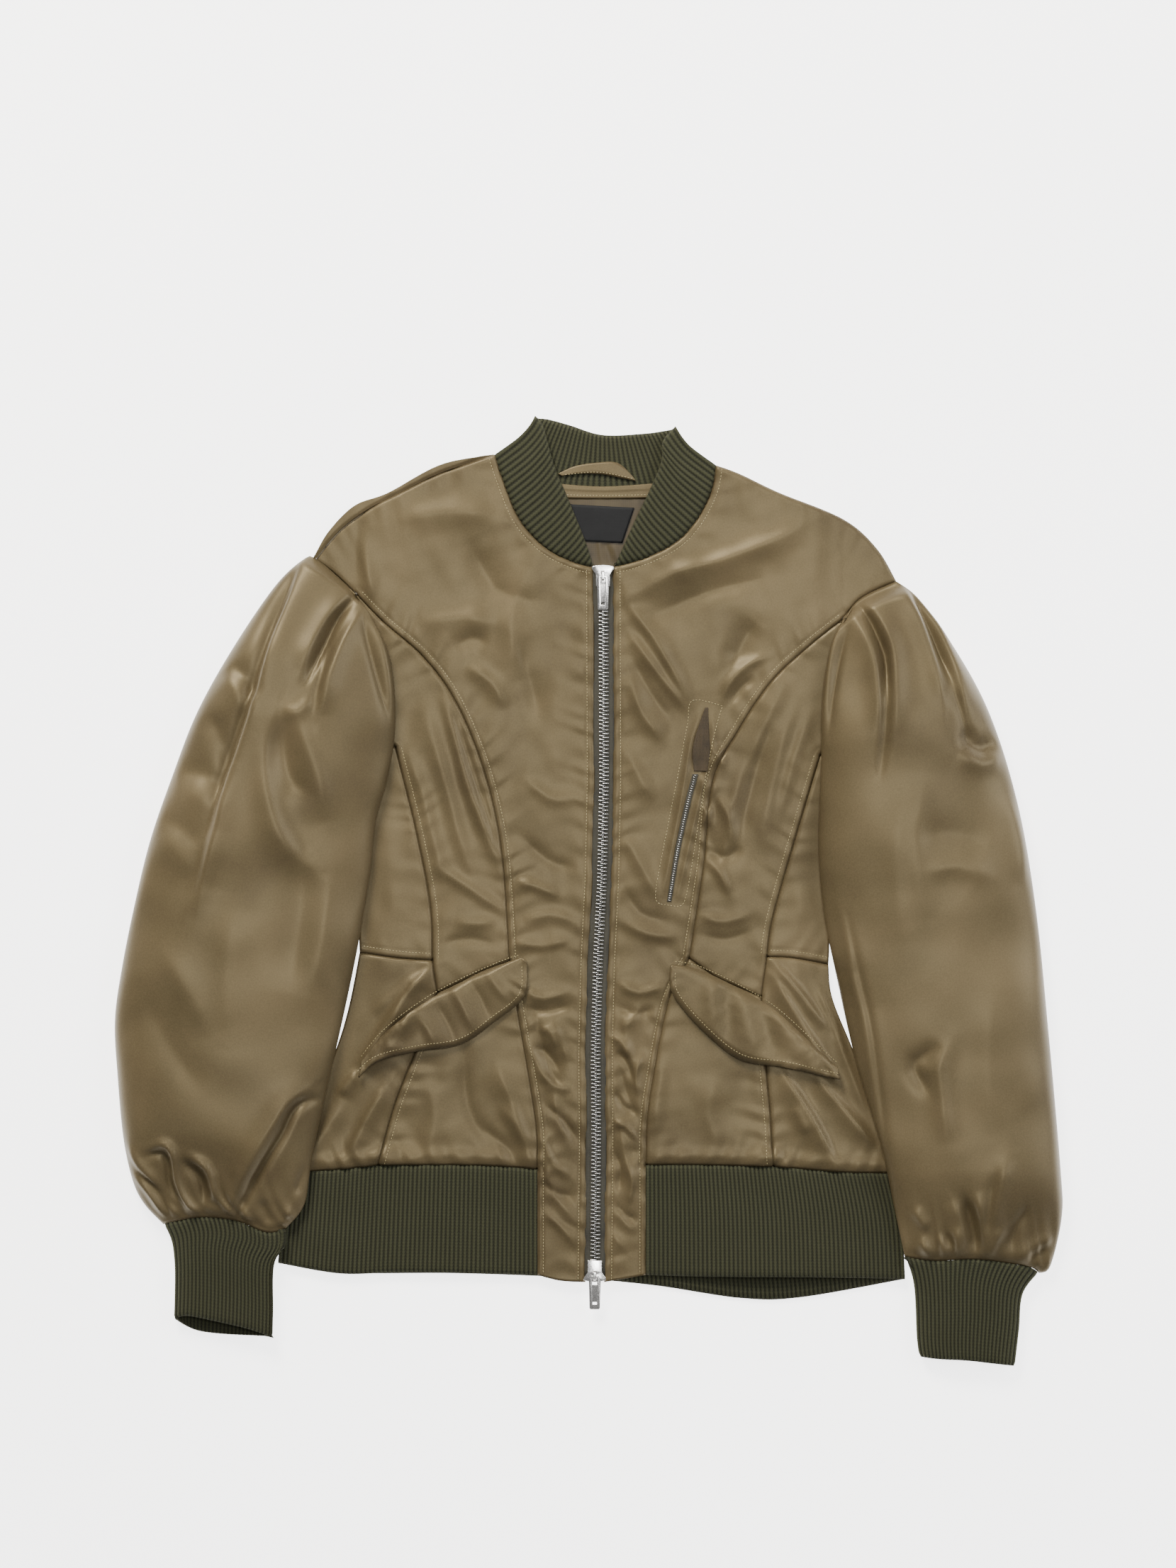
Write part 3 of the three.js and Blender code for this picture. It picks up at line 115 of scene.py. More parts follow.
# A smooth curve through the listed points, as evenly spaced points.
def curve(table, cells=None):
    points = toPlan(table)
    if len(points) > 2:
        padded = np.vstack([points[:1], points, points[-1:]])
        share = np.linspace(0, 1, 13)[:-1, None]
        runs = []
        for a, b, c, d in zip(padded[:-3], padded[1:-2], padded[2:-1], padded[3:]):
            leave, arrive = (c - a) / 2, (d - b) / 2
            runs.append((2 * b - 2 * c + leave + arrive) * share**3
                        + (3 * c - 3 * b - 2 * leave - arrive) * share**2 + leave * share + b)
        points = np.vstack(runs + [points[-1:]])
    return points if cells is None else respace(points, cells)


def chain(*lines):
    return np.vstack([lines[0]] + [line[1:] for line in lines[1:]])


def ease(low, high, value):
    t = np.clip((value - low) / (high - low), 0, 1)
    return t * t * (3 - 2 * t)


def hump(distance, wide):
    return np.exp(-(distance / wide) ** 2)


# A height function of points in the plan, worked out over a whole grid of them.
def over(grid, height, *settings):
    return height(grid.reshape(-1, 2), *settings).reshape(grid.shape[:2])


def liftedTo(grid, high):
    return np.concatenate([grid, high[..., None]], -1)


# Nearest place on a line for the points within reach of it: which points, how far to the viewer's
# right of a line that runs downwards, how far along it, and how long the line is.
def nearLine(points, line, reach):
    low, high = line.min(0) - reach, line.max(0) + reach
    chosen = np.nonzero(((points > low) & (points < high)).all(1))[0]
    here = points[chosen]
    best = np.full(len(here), 1e9)
    across, along = np.zeros(len(here)), np.zeros(len(here))
    start = 0
    for a, b in zip(line[:-1], line[1:]):
        run = b - a
        length = np.hypot(*run)
        if length == 0:
            continue
        offset = here - a
        share = offset @ run / length
        kept = np.clip(share, 0, length)
        gap = np.hypot(*(offset - kept[:, None] * run / length).T)
        nearer = gap < best
        best = np.where(nearer, gap, best)
        side = np.sign(run[0] * offset[:, 1] - run[1] * offset[:, 0])
        across = np.where(nearer, gap * side, across)
        along = np.where(nearer, start + kept, along)
        start += length
    close = best < reach
    return chosen[close], across[close], along[close], start


# Folds, listed one by one. Each row: spread to the viewer's left and right of a fold that runs downwards, its
# rise (a trough has a negative one), then the points that it runs through.
foldForm = {
    "crease": 1.55,  # 2 is a round fold, less is a sharper one
    "reach": 3.2,  # in spreads
    "taper": (-0.12, 0.3),  # shares of its length over which a fold fades out
}


def foldRise(points, folds):
    form = foldForm
    rise = np.zeros(len(points))
    for leftSpread, rightSpread, height, *run in folds:
        line = curve(run, 3 * (len(run) - 1) if len(run) > 2 else 1)
        wide = max(leftSpread, rightSpread) * mm
        chosen, across, along, length = nearLine(points, line, form["reach"] * wide)
        spread = np.where(across < 0, leftSpread, rightSpread) * mm
        taper = ease(*form["taper"], along / length) * ease(*form["taper"], 1 - along / length)
        rise[chosen] += height * mm * np.exp(-np.abs(across / spread) ** form["crease"]) * taper
    return rise


# Soft uneven swell of cloth that lies loosely: waves of many headings and lengths.
def swell(points, longest, height, seed, count=14, shortest=0.35):
    draws = np.random.default_rng(seed)
    total = np.zeros(len(points))
    for _ in range(count):
        turn = draws.uniform(0, math.tau)
        length = longest * draws.uniform(shortest, 1)
        wave = np.array([math.cos(turn), math.sin(turn)]) * math.tau / length
        total += np.sin(points @ wave + draws.uniform(0, math.tau)) * length / longest
    return height * total / math.sqrt(count)


# Uneven puckers along a sewn line, as shares of their spacing and height.
puckerForm = {"gap": (0.55, 1.6), "height": (0.2, 1), "trough": -0.7}


def puckers(along, length, spacing, seed):
    form = puckerForm
    draws = np.random.default_rng(seed)
    knots = np.cumsum(draws.uniform(*form["gap"], int(length / spacing) + 4)) * spacing - spacing
    turns = np.where(np.arange(len(knots)) % 2 == 0, 1, form["trough"])
    heights = draws.uniform(*form["height"], len(knots)) * turns
    index = np.clip(np.searchsorted(knots, along) - 1, 0, len(knots) - 2)
    share = ease(0, 1, (along - knots[index]) / (knots[index + 1] - knots[index]))
    return heights[index] * (1 - share) + heights[index + 1] * share


# Where front and back meet at the sides.
bodySide = {
    "right": [[502, 838], [506, 950], [505, 1060], [503, 1200], [507, 1344], [491, 1424], [470, 1490],
              [430, 1580], [402, 1655], [392, 1782]],
    "left": [[1192, 872], [1188, 960], [1180, 1060], [1176, 1200], [1169, 1361], [1175, 1410],
             [1211, 1500], [1243, 1600], [1257, 1656], [1277, 1805]],
}

seams = {
    "right": {
        "shoulder": [[444, 790], [477, 750], [520, 718], [570, 692], [622, 667], [698, 641]],
        "neckline": [[698, 641], [708, 673], [733, 733], [770, 773], [812, 794], [838, 800]],
        "armhole": [[444, 790], [470, 808], [502, 838]],
        "princess": [[502, 838], [540, 877], [597, 927], [643, 990], [683, 1087], [708, 1200], [719, 1356]],
        "princessLow": [[719, 1356], [729, 1420], [749, 1534], [758, 1600], [758, 1650]],
        "princessRib": [[758, 1650], [758, 1799]],
        "underArm": [[502, 838], [508, 950], [530, 1030], [557, 1053]],
        "side": [[557, 1053], [587, 1173], [607, 1277], [610, 1355]],
        "sideWaist": [[610, 1355], [617, 1401]],
        "sideLow": [[617, 1401], [582, 1493], [556, 1562], [533, 1644]],
        "bodyUpper": [[505, 1060], [503, 1200], [507, 1344]],
        "bodyLower": [[507, 1344], [491, 1424], [470, 1490], [430, 1580], [402, 1655]],
        "waist": [[507, 1344], [563, 1352], [610, 1355]],
        "flapSeam": [[617, 1401], [647, 1387], [680, 1370], [719, 1356]],
        "ribTopSide": [[402, 1655], [480, 1650], [533, 1644]],
        "ribTopFront": [[533, 1644], [643, 1644], [704, 1646], [758, 1650]],
        "ribSide": [[402, 1655], [392, 1782]],
        "ribBottom": [[392, 1782], [480, 1797], [562, 1795], [643, 1796], [758, 1799]],
        "centreHem": [[758, 1799], [790, 1807], [826, 1809]],
        "flapTop": [[510, 1497], [543, 1457], [593, 1418], [647, 1387], [713, 1358], [737, 1351]],
        "flapEdge": [[507, 1520], [533, 1497], [587, 1483], [650, 1473], [697, 1442], [740, 1405],
                     [744, 1357]],
    },
    "left": {
        "shoulder": [[1265, 820], [1237, 773], [1190, 732], [1100, 695], [1043, 668], [1010, 656]],
        "neckline": [[1010, 656], [1003, 693], [980, 737], [950, 767], [905, 789], [865, 800]],
        "armhole": [[1265, 820], [1230, 835], [1207, 850], [1192, 872]],
        "princess": [[1192, 872], [1140, 913], [1087, 963], [1040, 1033], [1005, 1103], [993, 1217],
                     [972, 1352]],
        "princessLow": [[972, 1352], [942, 1416], [920, 1526], [912, 1587], [911, 1644]],
        "princessRib": [[911, 1644], [911, 1799]],
        "underArm": [[1192, 872], [1192, 960], [1182, 1030], [1158, 1065]],
        "side": [[1158, 1065], [1123, 1180], [1090, 1297], [1082, 1350]],
        "sideWaist": [[1082, 1350], [1074, 1407]],
        "sideLow": [[1074, 1407], [1081, 1509], [1087, 1575], [1091, 1646]],
        "bodyUpper": [[1180, 1060], [1176, 1200], [1169, 1361]],
        "bodyLower": [[1169, 1361], [1175, 1410], [1211, 1500], [1243, 1600], [1257, 1656]],
        "waist": [[1169, 1361], [1120, 1352], [1082, 1350]],
        "flapSeam": [[1074, 1407], [1030, 1388], [1007, 1377], [972, 1352]],
        "ribTopSide": [[1257, 1656], [1187, 1654], [1091, 1646]],
        "ribTopFront": [[1091, 1646], [983, 1644], [911, 1644]],
        "ribSide": [[1257, 1656], [1272, 1722], [1277, 1805]],
        "ribBottom": [[1277, 1805], [1147, 1802], [983, 1801], [911, 1799]],
        "centreHem": [[911, 1799], [888, 1803], [853, 1809]],
        "flapTop": [[1181, 1505], [1159, 1485], [1098, 1429], [1053, 1400], [987, 1368], [947, 1360]],
        "flapEdge": [[1185, 1523], [1163, 1518], [1106, 1505], [1044, 1495], [991, 1454], [949, 1403],
                     [945, 1366]],
    },
}
frontZip = {
    "run": [[851, 797], [852, 1100], [849, 1240], [843, 1362], [840, 1485], [841, 1607], [839, 1809]],
    "half": 13,  # half width between the fronts, in steps
    "top": 800,
    "end": 1809,
    "cells": 120,
}


def zipMiddle(ys, shift=0):
    run = np.array(frontZip["run"], float)
    return toPlan(np.stack([np.interp(ys, run[:, 1], run[:, 0]) + shift, ys], 1))


def zipEdge(side):
    shift = -frontZip["half"] if side == "right" else frontZip["half"]
    return zipMiddle(np.linspace(frontZip["top"], frontZip["end"], frontZip["cells"] + 1), shift)


# Lines of one front that panels share, so that neighbours meet.
def seamLines(side):
    lines = {name: curve(table) for name, table in seams[side].items()}
    lines["zip"] = zipEdge(side)
    lines["neckline"][-1] = lines["zip"][0]
    lines["centreHem"][-1] = lines["zip"][-1]
    parts = ("armhole", "princess", "princessLow", "princessRib")
    lines["princessAll"] = chain(*[lines[name] for name in parts])
    lines["opening"] = chain(lines["neckline"], lines["zip"])
    lines["sideAll"] = chain(lines["underArm"], lines["side"], lines["sideWaist"])
    lines["peplum"] = chain(lines["sideWaist"], lines["sideLow"])
    return lines


own = {side: seamLines(side) for side in ("right", "left")}
sideEdge = {side: curve(table) for side, table in bodySide.items()}

# Sewn lines of the fronts. The topstitch runs so many mm beside the seam, to the viewer's right of
# the line in the right front, or to its left where the number is negative. The left front mirrors
# it. Pucker and blouse are rises in mm.
sewn = [
    {"seam": "princess", "stitch": 4.6, "pucker": 0.95},
    {"seam": "princessLow", "stitch": 4.6, "pucker": 1.1},
    {"seam": "princessRib", "stitch": 4.4, "pucker": 0.66},
    {"seam": "side", "stitch": 4.6, "pucker": 0.76},
    {"seam": "sideLow", "stitch": 4.6, "pucker": 0.95},
    {"seam": "neckline", "stitch": -4.8, "pucker": 0.66},
    {"seam": "zip", "stitch": -5.6, "pucker": 1},
    {"seam": "waist", "stitch": 5.2, "pucker": 0.66},
    {"seam": "armhole", "stitch": 0, "pucker": 0.57},
    {"seam": "shoulder", "stitch": 0, "pucker": 0.57},
    {"seam": "underArm", "stitch": 0, "pucker": 0.57},
    {"seam": "sideWaist", "stitch": 0, "pucker": 0.57},
    {"seam": "flapSeam", "stitch": 0, "pucker": 0.57},
    {"seam": "ribTopSide", "stitch": 0, "pucker": 2.2, "blouse": 1.5},
    {"seam": "ribTopFront", "stitch": 0, "pucker": 2.2, "blouse": 1.5},
]
# In millimetres, but for the slant of the puckers and how much they flatten beside the stitches.
seamForm = {
    "ditch": 1.0, "ditchWide": 1.25,
    "allowance": 0.14, "allowanceShare": 0.42, "groove": 0.28, "grooveWide": 1.0,
    "puckerReach": 10.0, "puckerPitch": 7.5, "puckerSlant": 0.35, "flatten": 0.6, "flattenWide": 2.5,
    "blouseAt": 7, "blouseWide": 5,
}

bodyFolds = [
    # wearer's right front
    [4, 9, 3.7, (626, 985), (647, 1060), (660, 1110), (680, 1160), (697, 1203), (708, 1227)],
    [3, 3, -2.8, (640, 1000), (662, 1075), (684, 1140), (704, 1200)],
    [6, 6, 2.3, (600, 1010), (622, 1080), (648, 1180), (668, 1240)],
    [4, 7, 2.0, (575, 1060), (598, 1130), (615, 1200), (625, 1250)],
    [4, 4, 2.5, (618, 1225), (650, 1245), (680, 1265), (715, 1287)],
    [14, 10, 3.0, (560, 735), (640, 722), (700, 730)],
    [12, 9, 2.8, (590, 880), (650, 872), (700, 880)],
    [6, 9, 3.4, (497, 747), (507, 777), (520, 815), (530, 853)],
    [4, 4, 2.2, (727, 1243), (755, 1250), (790, 1265)],
    [5, 5, -1.7, (735, 1180), (775, 1215), (815, 1225)],
    [5, 5, 1.7, (742, 1100), (775, 1125), (812, 1130)],
    [6, 4, 1.9, (738, 1300), (775, 1290), (812, 1300)],
    [3, 5, 1.6, (722, 1330), (765, 1335), (805, 1325)],
    [9, 9, 2.4, (745, 800), (720, 880), (735, 960)],
    [10, 10, -2.6, (660, 760), (700, 830), (770, 850)],
    [5, 5, 1.7, (640, 1300), (670, 1303), (700, 1300)],
    [4, 4, -1.6, (625, 1330), (665, 1325), (705, 1335)],
    [4, 5, 2.0, (775, 1440), (792, 1468), (800, 1500)],
    [5, 4, 2.2, (780, 1540), (788, 1580), (805, 1620)],
    [4, 4, -1.9, (756, 1430), (775, 1510), (800, 1540)],
    [4, 5, 1.9, (740, 1460), (752, 1490), (775, 1530)],
    [5, 5, 1.9, (770, 1650), (785, 1690), (812, 1720)],
    [6, 6, 2.3, (700, 1500), (722, 1555), (745, 1620)],
    [5, 5, -1.6, (655, 1490), (660, 1560), (690, 1620)],
    [8, 8, 1.6, (600, 1520), (612, 1570), (605, 1630)],
    [3, 8, 4.4, (612, 1362), (575, 1400), (545, 1455)],
    [3, 10, 4.8, (570, 1400), (540, 1450), (505, 1509)],
    [3, 10, 4.0, (545, 1530), (515, 1580), (488, 1636)],
    [3, 7, 3.4, (505, 1509), (492, 1525), (478, 1545)],
    [5, 7, 2.5, (480, 1560), (455, 1600), (432, 1640)],
    [4, 6, 2.2, (590, 1370), (560, 1400), (525, 1430)],
    [7, 7, -2.4, (640, 915), (665, 900), (690, 908)],
    [6, 6, 2.2, (655, 940), (690, 960), (715, 1000)],
    [8, 8, -2.0, (730, 905), (745, 950), (760, 1010)],
    [4, 4, 2.4, (757, 1450), (775, 1456), (786, 1480)],
    [3, 4, -2.4, (752, 1478), (772, 1486), (790, 1512)],
    [4, 3, 2.4, (762, 1512), (782, 1530), (806, 1538)],
    [3, 3, -2.2, (770, 1560), (792, 1578), (812, 1604)],
    [4, 3, 2.2, (765, 1602), (780, 1640), (806, 1660)],
    [3, 3, -2.0, (764, 1668), (788, 1684), (815, 1690)],
    [3, 4, 2.0, (768, 1712), (790, 1730), (815, 1760)],
    [4, 4, 2.2, (734, 1395), (765, 1408), (800, 1400)],
    [3, 4, -2.0, (738, 1420), (770, 1428), (806, 1418)],
    [4, 6, 2.2, (706, 1560), (735, 1600), (748, 1640)],
    [4, 4, -1.8, (680, 1590), (712, 1618), (728, 1642)],
    # wearer's left front
    [9, 8, -2.8, (1068, 880), (1048, 905), (1034, 940)],
    [5, 4, 3.0, (1085, 925), (1056, 937), (1032, 960), (1020, 985)],
    [4, 4, -2.2, (1066, 955), (1045, 972), (1028, 996)],
    [2.5, 2.5, 1.6, (990, 1002), (975, 1045), (966, 1100), (951, 1180), (935, 1262)],
    [2.5, 2.5, 1.6, (1006, 1008), (1005, 1060), (992, 1105), (975, 1180), (955, 1270)],
    [1.4, 1.4, 0.9, (992, 1024), (989, 1060), (986, 1090)],
    [3, 4, 2.2, (1010, 1120), (1030, 1160), (1034, 1200)],
    [4, 4, -2.2, (1002, 1200), (1024, 1210), (1046, 1195)],
    [3, 4, 2.4, (998, 1215), (1015, 1232), (1030, 1262)],
    [3, 3, 2.6, (860, 1462), (876, 1470), (888, 1492)],
    [3, 3, -2.6, (868, 1482), (884, 1498), (896, 1530)],
    [3, 3, 2.4, (905, 1490), (896, 1520), (902, 1548)],
    [3, 3, -2.4, (868, 1540), (880, 1562), (900, 1570)],
    [3, 3, 2.4, (862, 1580), (884, 1590), (900, 1610)],
    [3, 3, -2.2, (866, 1622), (876, 1650), (872, 1680)],
    [3, 3, 2.2, (884, 1640), (892, 1668), (886, 1700)],
    [3, 3, -2.2, (868, 1700), (884, 1716), (900, 1722)],
    [3, 3, 2.0, (862, 1740), (880, 1762), (898, 1782)],
    [4, 4, 2.2, (870, 1385), (900, 1400), (935, 1392)],
    [3, 4, -2.0, (872, 1420), (895, 1430), (925, 1424)],
    [7, 7, 3.4, (1207, 745), (1204, 790), (1207, 850)],
    [9, 7, 3.6, (897, 837), (953, 807), (1007, 793), (1053, 777), (1103, 757), (1137, 737)],
    [9, 9, -2.8, (915, 870), (1000, 835), (1080, 815)],
    [4, 6, 3.2, (885, 852), (925, 905), (973, 990)],
    [4, 4, 2.6, (888, 893), (925, 945), (968, 1000)],
    [5, 6, 2.2, (890, 960), (905, 1005), (935, 1045)],
    [5, 5, -1.7, (893, 930), (915, 975), (945, 1015)],
    [6, 6, 1.6, (885, 1060), (905, 1100), (925, 1130)],
    [7, 7, 2.3, (1110, 960), (1085, 1010), (1060, 1080)],
    [6, 8, 2.5, (1125, 985), (1098, 1070), (1075, 1180)],
    [4, 4, -2.0, (1090, 1010), (1065, 1090), (1045, 1180)],
    [4, 5, 2.0, (1140, 1010), (1118, 1080), (1100, 1150)],
    [5, 5, 1.9, (1050, 1080), (1030, 1150), (1018, 1240)],
    [6, 6, 1.9, (880, 1180), (905, 1222), (930, 1270)],
    [5, 5, -1.6, (878, 1250), (905, 1290), (945, 1300)],
    [4, 5, 1.9, (875, 1300), (915, 1318), (955, 1322)],
    [4, 4, 1.6, (985, 1290), (1020, 1300), (1060, 1290)],
    [4, 4, -1.4, (990, 1320), (1025, 1325), (1065, 1312)],
    [3, 3, 1.7, (1003, 1050), (1014, 1068), (1022, 1082)],
    [3, 3, 1.7, (1024, 1052), (1012, 1066), (1004, 1082)],
    [3, 3, 1.6, (990, 1135), (998, 1150), (1004, 1168)],
    [3, 3, 1.6, (1004, 1138), (996, 1152), (990, 1165)],
    [3, 3, 1.4, (986, 1182), (996, 1192), (1004, 1196)],
    [4, 4, -1.6, (1015, 1110), (1003, 1160), (995, 1220)],
    [5, 5, 2.0, (880, 1440), (888, 1485), (900, 1530)],
    [5, 5, 2.0, (875, 1590), (882, 1635), (895, 1680)],
    [4, 4, -1.7, (872, 1500), (885, 1545), (902, 1580)],
    [4, 4, 1.7, (905, 1420), (890, 1440), (875, 1450)],
    [4, 4, 1.7, (870, 1700), (882, 1725), (900, 1740)],
    [6, 6, 2.0, (935, 1500), (928, 1550), (925, 1600)],
    [9, 9, 1.6, (1010, 1520), (1000, 1570), (1015, 1625)],
    [8, 3, 4.4, (1090, 1355), (1128, 1400), (1165, 1450)],
    [8, 3, 4.4, (1088, 1375), (1135, 1450), (1185, 1535)],
    [9, 3, 4.4, (1100, 1510), (1142, 1570), (1180, 1645)],
    [8, 3, 3.8, (1150, 1520), (1195, 1570), (1235, 1618)],
    [5, 5, 2.3, (1120, 1560), (1130, 1582), (1140, 1600)],
    [5, 4, 2.5, (1155, 1395), (1178, 1440), (1192, 1490)],
    [5, 4, 2.2, (1185, 1470), (1205, 1520), (1225, 1570)],
]

slackAreas = {"longest": 90 * mm, "height": 0.8 * mm, "fine": 30 * mm, "fineHeight": 0.22 * mm}


# How far points of the plan lie inside the body's side edges.
def insideSides(points, side):
    line = sideEdge[side][::-1]
    edge = np.interp(points[:, 1], line[:, 1], line[:, 0])
    return points[:, 0] - edge if side == "right" else edge - points[:, 0]


# Height of the fronts' outer face over the floor, with every fold, seam and pucker.
def frontFace(points, detail=True):
    near = np.minimum(insideSides(points, "right"), insideSides(points, "left"))
    inside = ease(0, cloth["sideFall"], near)
    height = cloth["sideTop"] + (cloth["frontTop"] - cloth["sideTop"]) * inside
    calm = ease(0, cloth["calmSide"], near) * ease(*cloth["calmHem"], points[:, 1])
    height += foldRise(points, bodyFolds) * calm
    if detail:
        height += swell(points, slackAreas["longest"], slackAreas["height"], 3) * inside
        height += swell(points, slackAreas["fine"], slackAreas["fineHeight"], 4) * inside
        for side in ("right", "left"):
            for k, row in enumerate(sewn):
                height += seamRise(points, side, row, 20 * k + len(side))
    return height


def stitchOffset(side, row):
    return row["stitch"] * mm if side == "right" else -row["stitch"] * mm


def seamRise(points, side, row, seed):
    form = seamForm
    reach = 3 * form["puckerReach"] * mm
    chosen, across, along, length = nearLine(points, own[side][row["seam"]], reach)
    offset = stitchOffset(side, row)
    away = np.abs(across - offset) / mm
    pull = puckers(along + form["puckerSlant"] * np.abs(across), length, form["puckerPitch"] * mm, seed)
    flatter = 1 - hump(away, form["flattenWide"]) * form["flatten"]
    waves = pull * row["pucker"] * mm * np.exp(-away / form["puckerReach"]) * flatter
    rise = np.zeros(len(points))
    rise[chosen] = waves - hump(across, form["ditchWide"] * mm) * form["ditch"] * mm
    if "blouse" in row:
        rise[chosen] += row["blouse"] * mm * hump(np.abs(across) / mm - form["blouseAt"], form["blouseWide"])
    if row["stitch"]:
        between = hump(across - offset / 2, form["allowanceShare"] * abs(offset))
        groove = hump(across - offset, form["grooveWide"] * mm)
        rise[chosen] += (form["allowance"] * between - form["groove"] * groove) * mm
    return rise


# Materials
def hexColour(text):
    parts = [int(text[k:k + 2], 16) / 255 for k in (0, 2, 4)]
    linear = [p / 12.92 if p <= 0.04045 else ((p + 0.055) / 1.055) ** 2.4 for p in parts]
    return (*linear, 1)


# Adds one node, sets its options, plain inputs and colour stops, and links the rest.
def addNode(tree, kind, inputs=None, stops=(), **options):
    made = tree.nodes.new("ShaderNode" + kind)
    for name, value in options.items():
        setattr(made, name, value)
    for name, value in (inputs or {}).items():
        if isinstance(value, bpy.types.NodeSocket):
            tree.links.new(value, made.inputs[name])
        else:
            made.inputs[name].default_value = value
    for k, (place, value) in enumerate(stops):
        band = made.color_ramp.elements
        if k == 0:
            for _ in range(len(stops) - len(band)):
                band.new(0.5)
        band[k].position = place
        band[k].color = hexColour(value) if isinstance(value, str) else (value, value, value, 1)
    return made


def startMaterial(name, settings):
    material = bpy.data.materials.new(name)
    material.use_nodes = True
    tree = material.node_tree
    shader = tree.nodes["Principled BSDF"]
    for socket, value in settings.items():
        shader.inputs[socket].default_value = value
    at = addNode(tree, "TexCoord").outputs["Object"]
    return material, tree, shader, at


wavePeriod = 0.314  # metres between the bands of a Wave Texture at scale 1

# Nylon satin: smooth floats over a fine twill give broad soft highlights from the shader. Its two-tone shimmer
# is painted into the base colour as large random patches of lighter and darker tone.
# The real twill line is about 0.35 mm, too fine to show, so it is drawn at 1.1 mm.
satinLook = {
    "tones": [(0.39, "3f3526"), (0.69, "4e4430"), (0.99, "5c503a")],
    "patch": 90 * mm, "grain": 1.2 * mm, "grainShare": 0.42,
    "twill": 1.1 * mm, "twillTurn": math.radians(38), "twillDepth": 0.12 * mm,
    "crumple": 22 * mm, "crumpleDepth": 0.6 * mm,
    "shader": {"Roughness": 0.43, "Specular IOR Level": 0.78, "Specular Tint": hexColour("cfbf9a"),
               "Sheen Weight": 0.04, "Sheen Roughness": 0.4, "Sheen Tint": hexColour("a08a5a")},
}


def nylonSatin():
    look = satinLook
    material, tree, shader, at = startMaterial("nylonSatin", look["shader"])
    # Painted shimmer: large random patches of tone in the base colour stand in for the satin's two-tone sheen.
    paintedShimmer = addNode(tree, "TexNoise", {"Vector": at, "Scale": 1 / look["patch"], "Detail": 2.5,
                                         "Roughness": 0.55, "Distortion": 0.6}).outputs["Fac"]
    fine = {"Vector": at, "Scale": 1 / look["grain"], "Detail": 2.0}
    grain = addNode(tree, "TexNoise", fine).outputs["Fac"]
    shade = addNode(tree, "Math", {0: grain, 1: look["grainShare"], 2: paintedShimmer}, operation="MULTIPLY_ADD")
    colour = addNode(tree, "ValToRGB", {"Fac": shade.outputs[0]}, look["tones"])
    tree.links.new(colour.outputs["Color"], shader.inputs["Base Color"])
    turned = addNode(tree, "Mapping", {"Vector": at, "Rotation": (0, 0, look["twillTurn"])}).outputs["Vector"]
    twill = addNode(tree, "TexWave", {"Vector": turned, "Scale": wavePeriod / look["twill"],
                                      "Distortion": 0.6, "Detail": 1.0}).outputs["Fac"]
    crumple = addNode(tree, "TexNoise", {"Vector": at, "Scale": 1 / look["crumple"], "Detail": 3.0,
                                         "Roughness": 0.6}).outputs["Fac"]
    fine = addNode(tree, "Bump", {"Height": twill, "Strength": 0.12, "Distance": look["twillDepth"]})
    both = addNode(tree, "Bump", {"Height": crumple, "Strength": 0.16, "Distance": look["crumpleDepth"],
                                  "Normal": fine.outputs["Normal"]})
    tree.links.new(both.outputs["Normal"], shader.inputs["Normal"])
    return material


# Rib knit: wool blend, matt, each rib a column of V stitches with a furrow beside it. Its colour holds painted
# light and shade: lighter on the crests and stitch tops, darker in the furrows.
# The UV map counts ribs across and stitches along.
ribLook = {
    "tones": [(0.1, "18190f"), (0.75, "27281a"), (1.0, "353624")],
    "fuzz": 0.9 * mm, "fuzzDepth": 0.2 * mm, "stitchDepth": 0.45 * mm,
    "stitchSlant": 1.5, "stitchShare": 0.16, "fuzzShare": 0.35,
    "shader": {"Roughness": 0.85, "Specular IOR Level": 0.25, "Sheen Weight": 0.18, "Sheen Roughness": 0.6,
               "Sheen Tint": hexColour("8c8a68")},
}


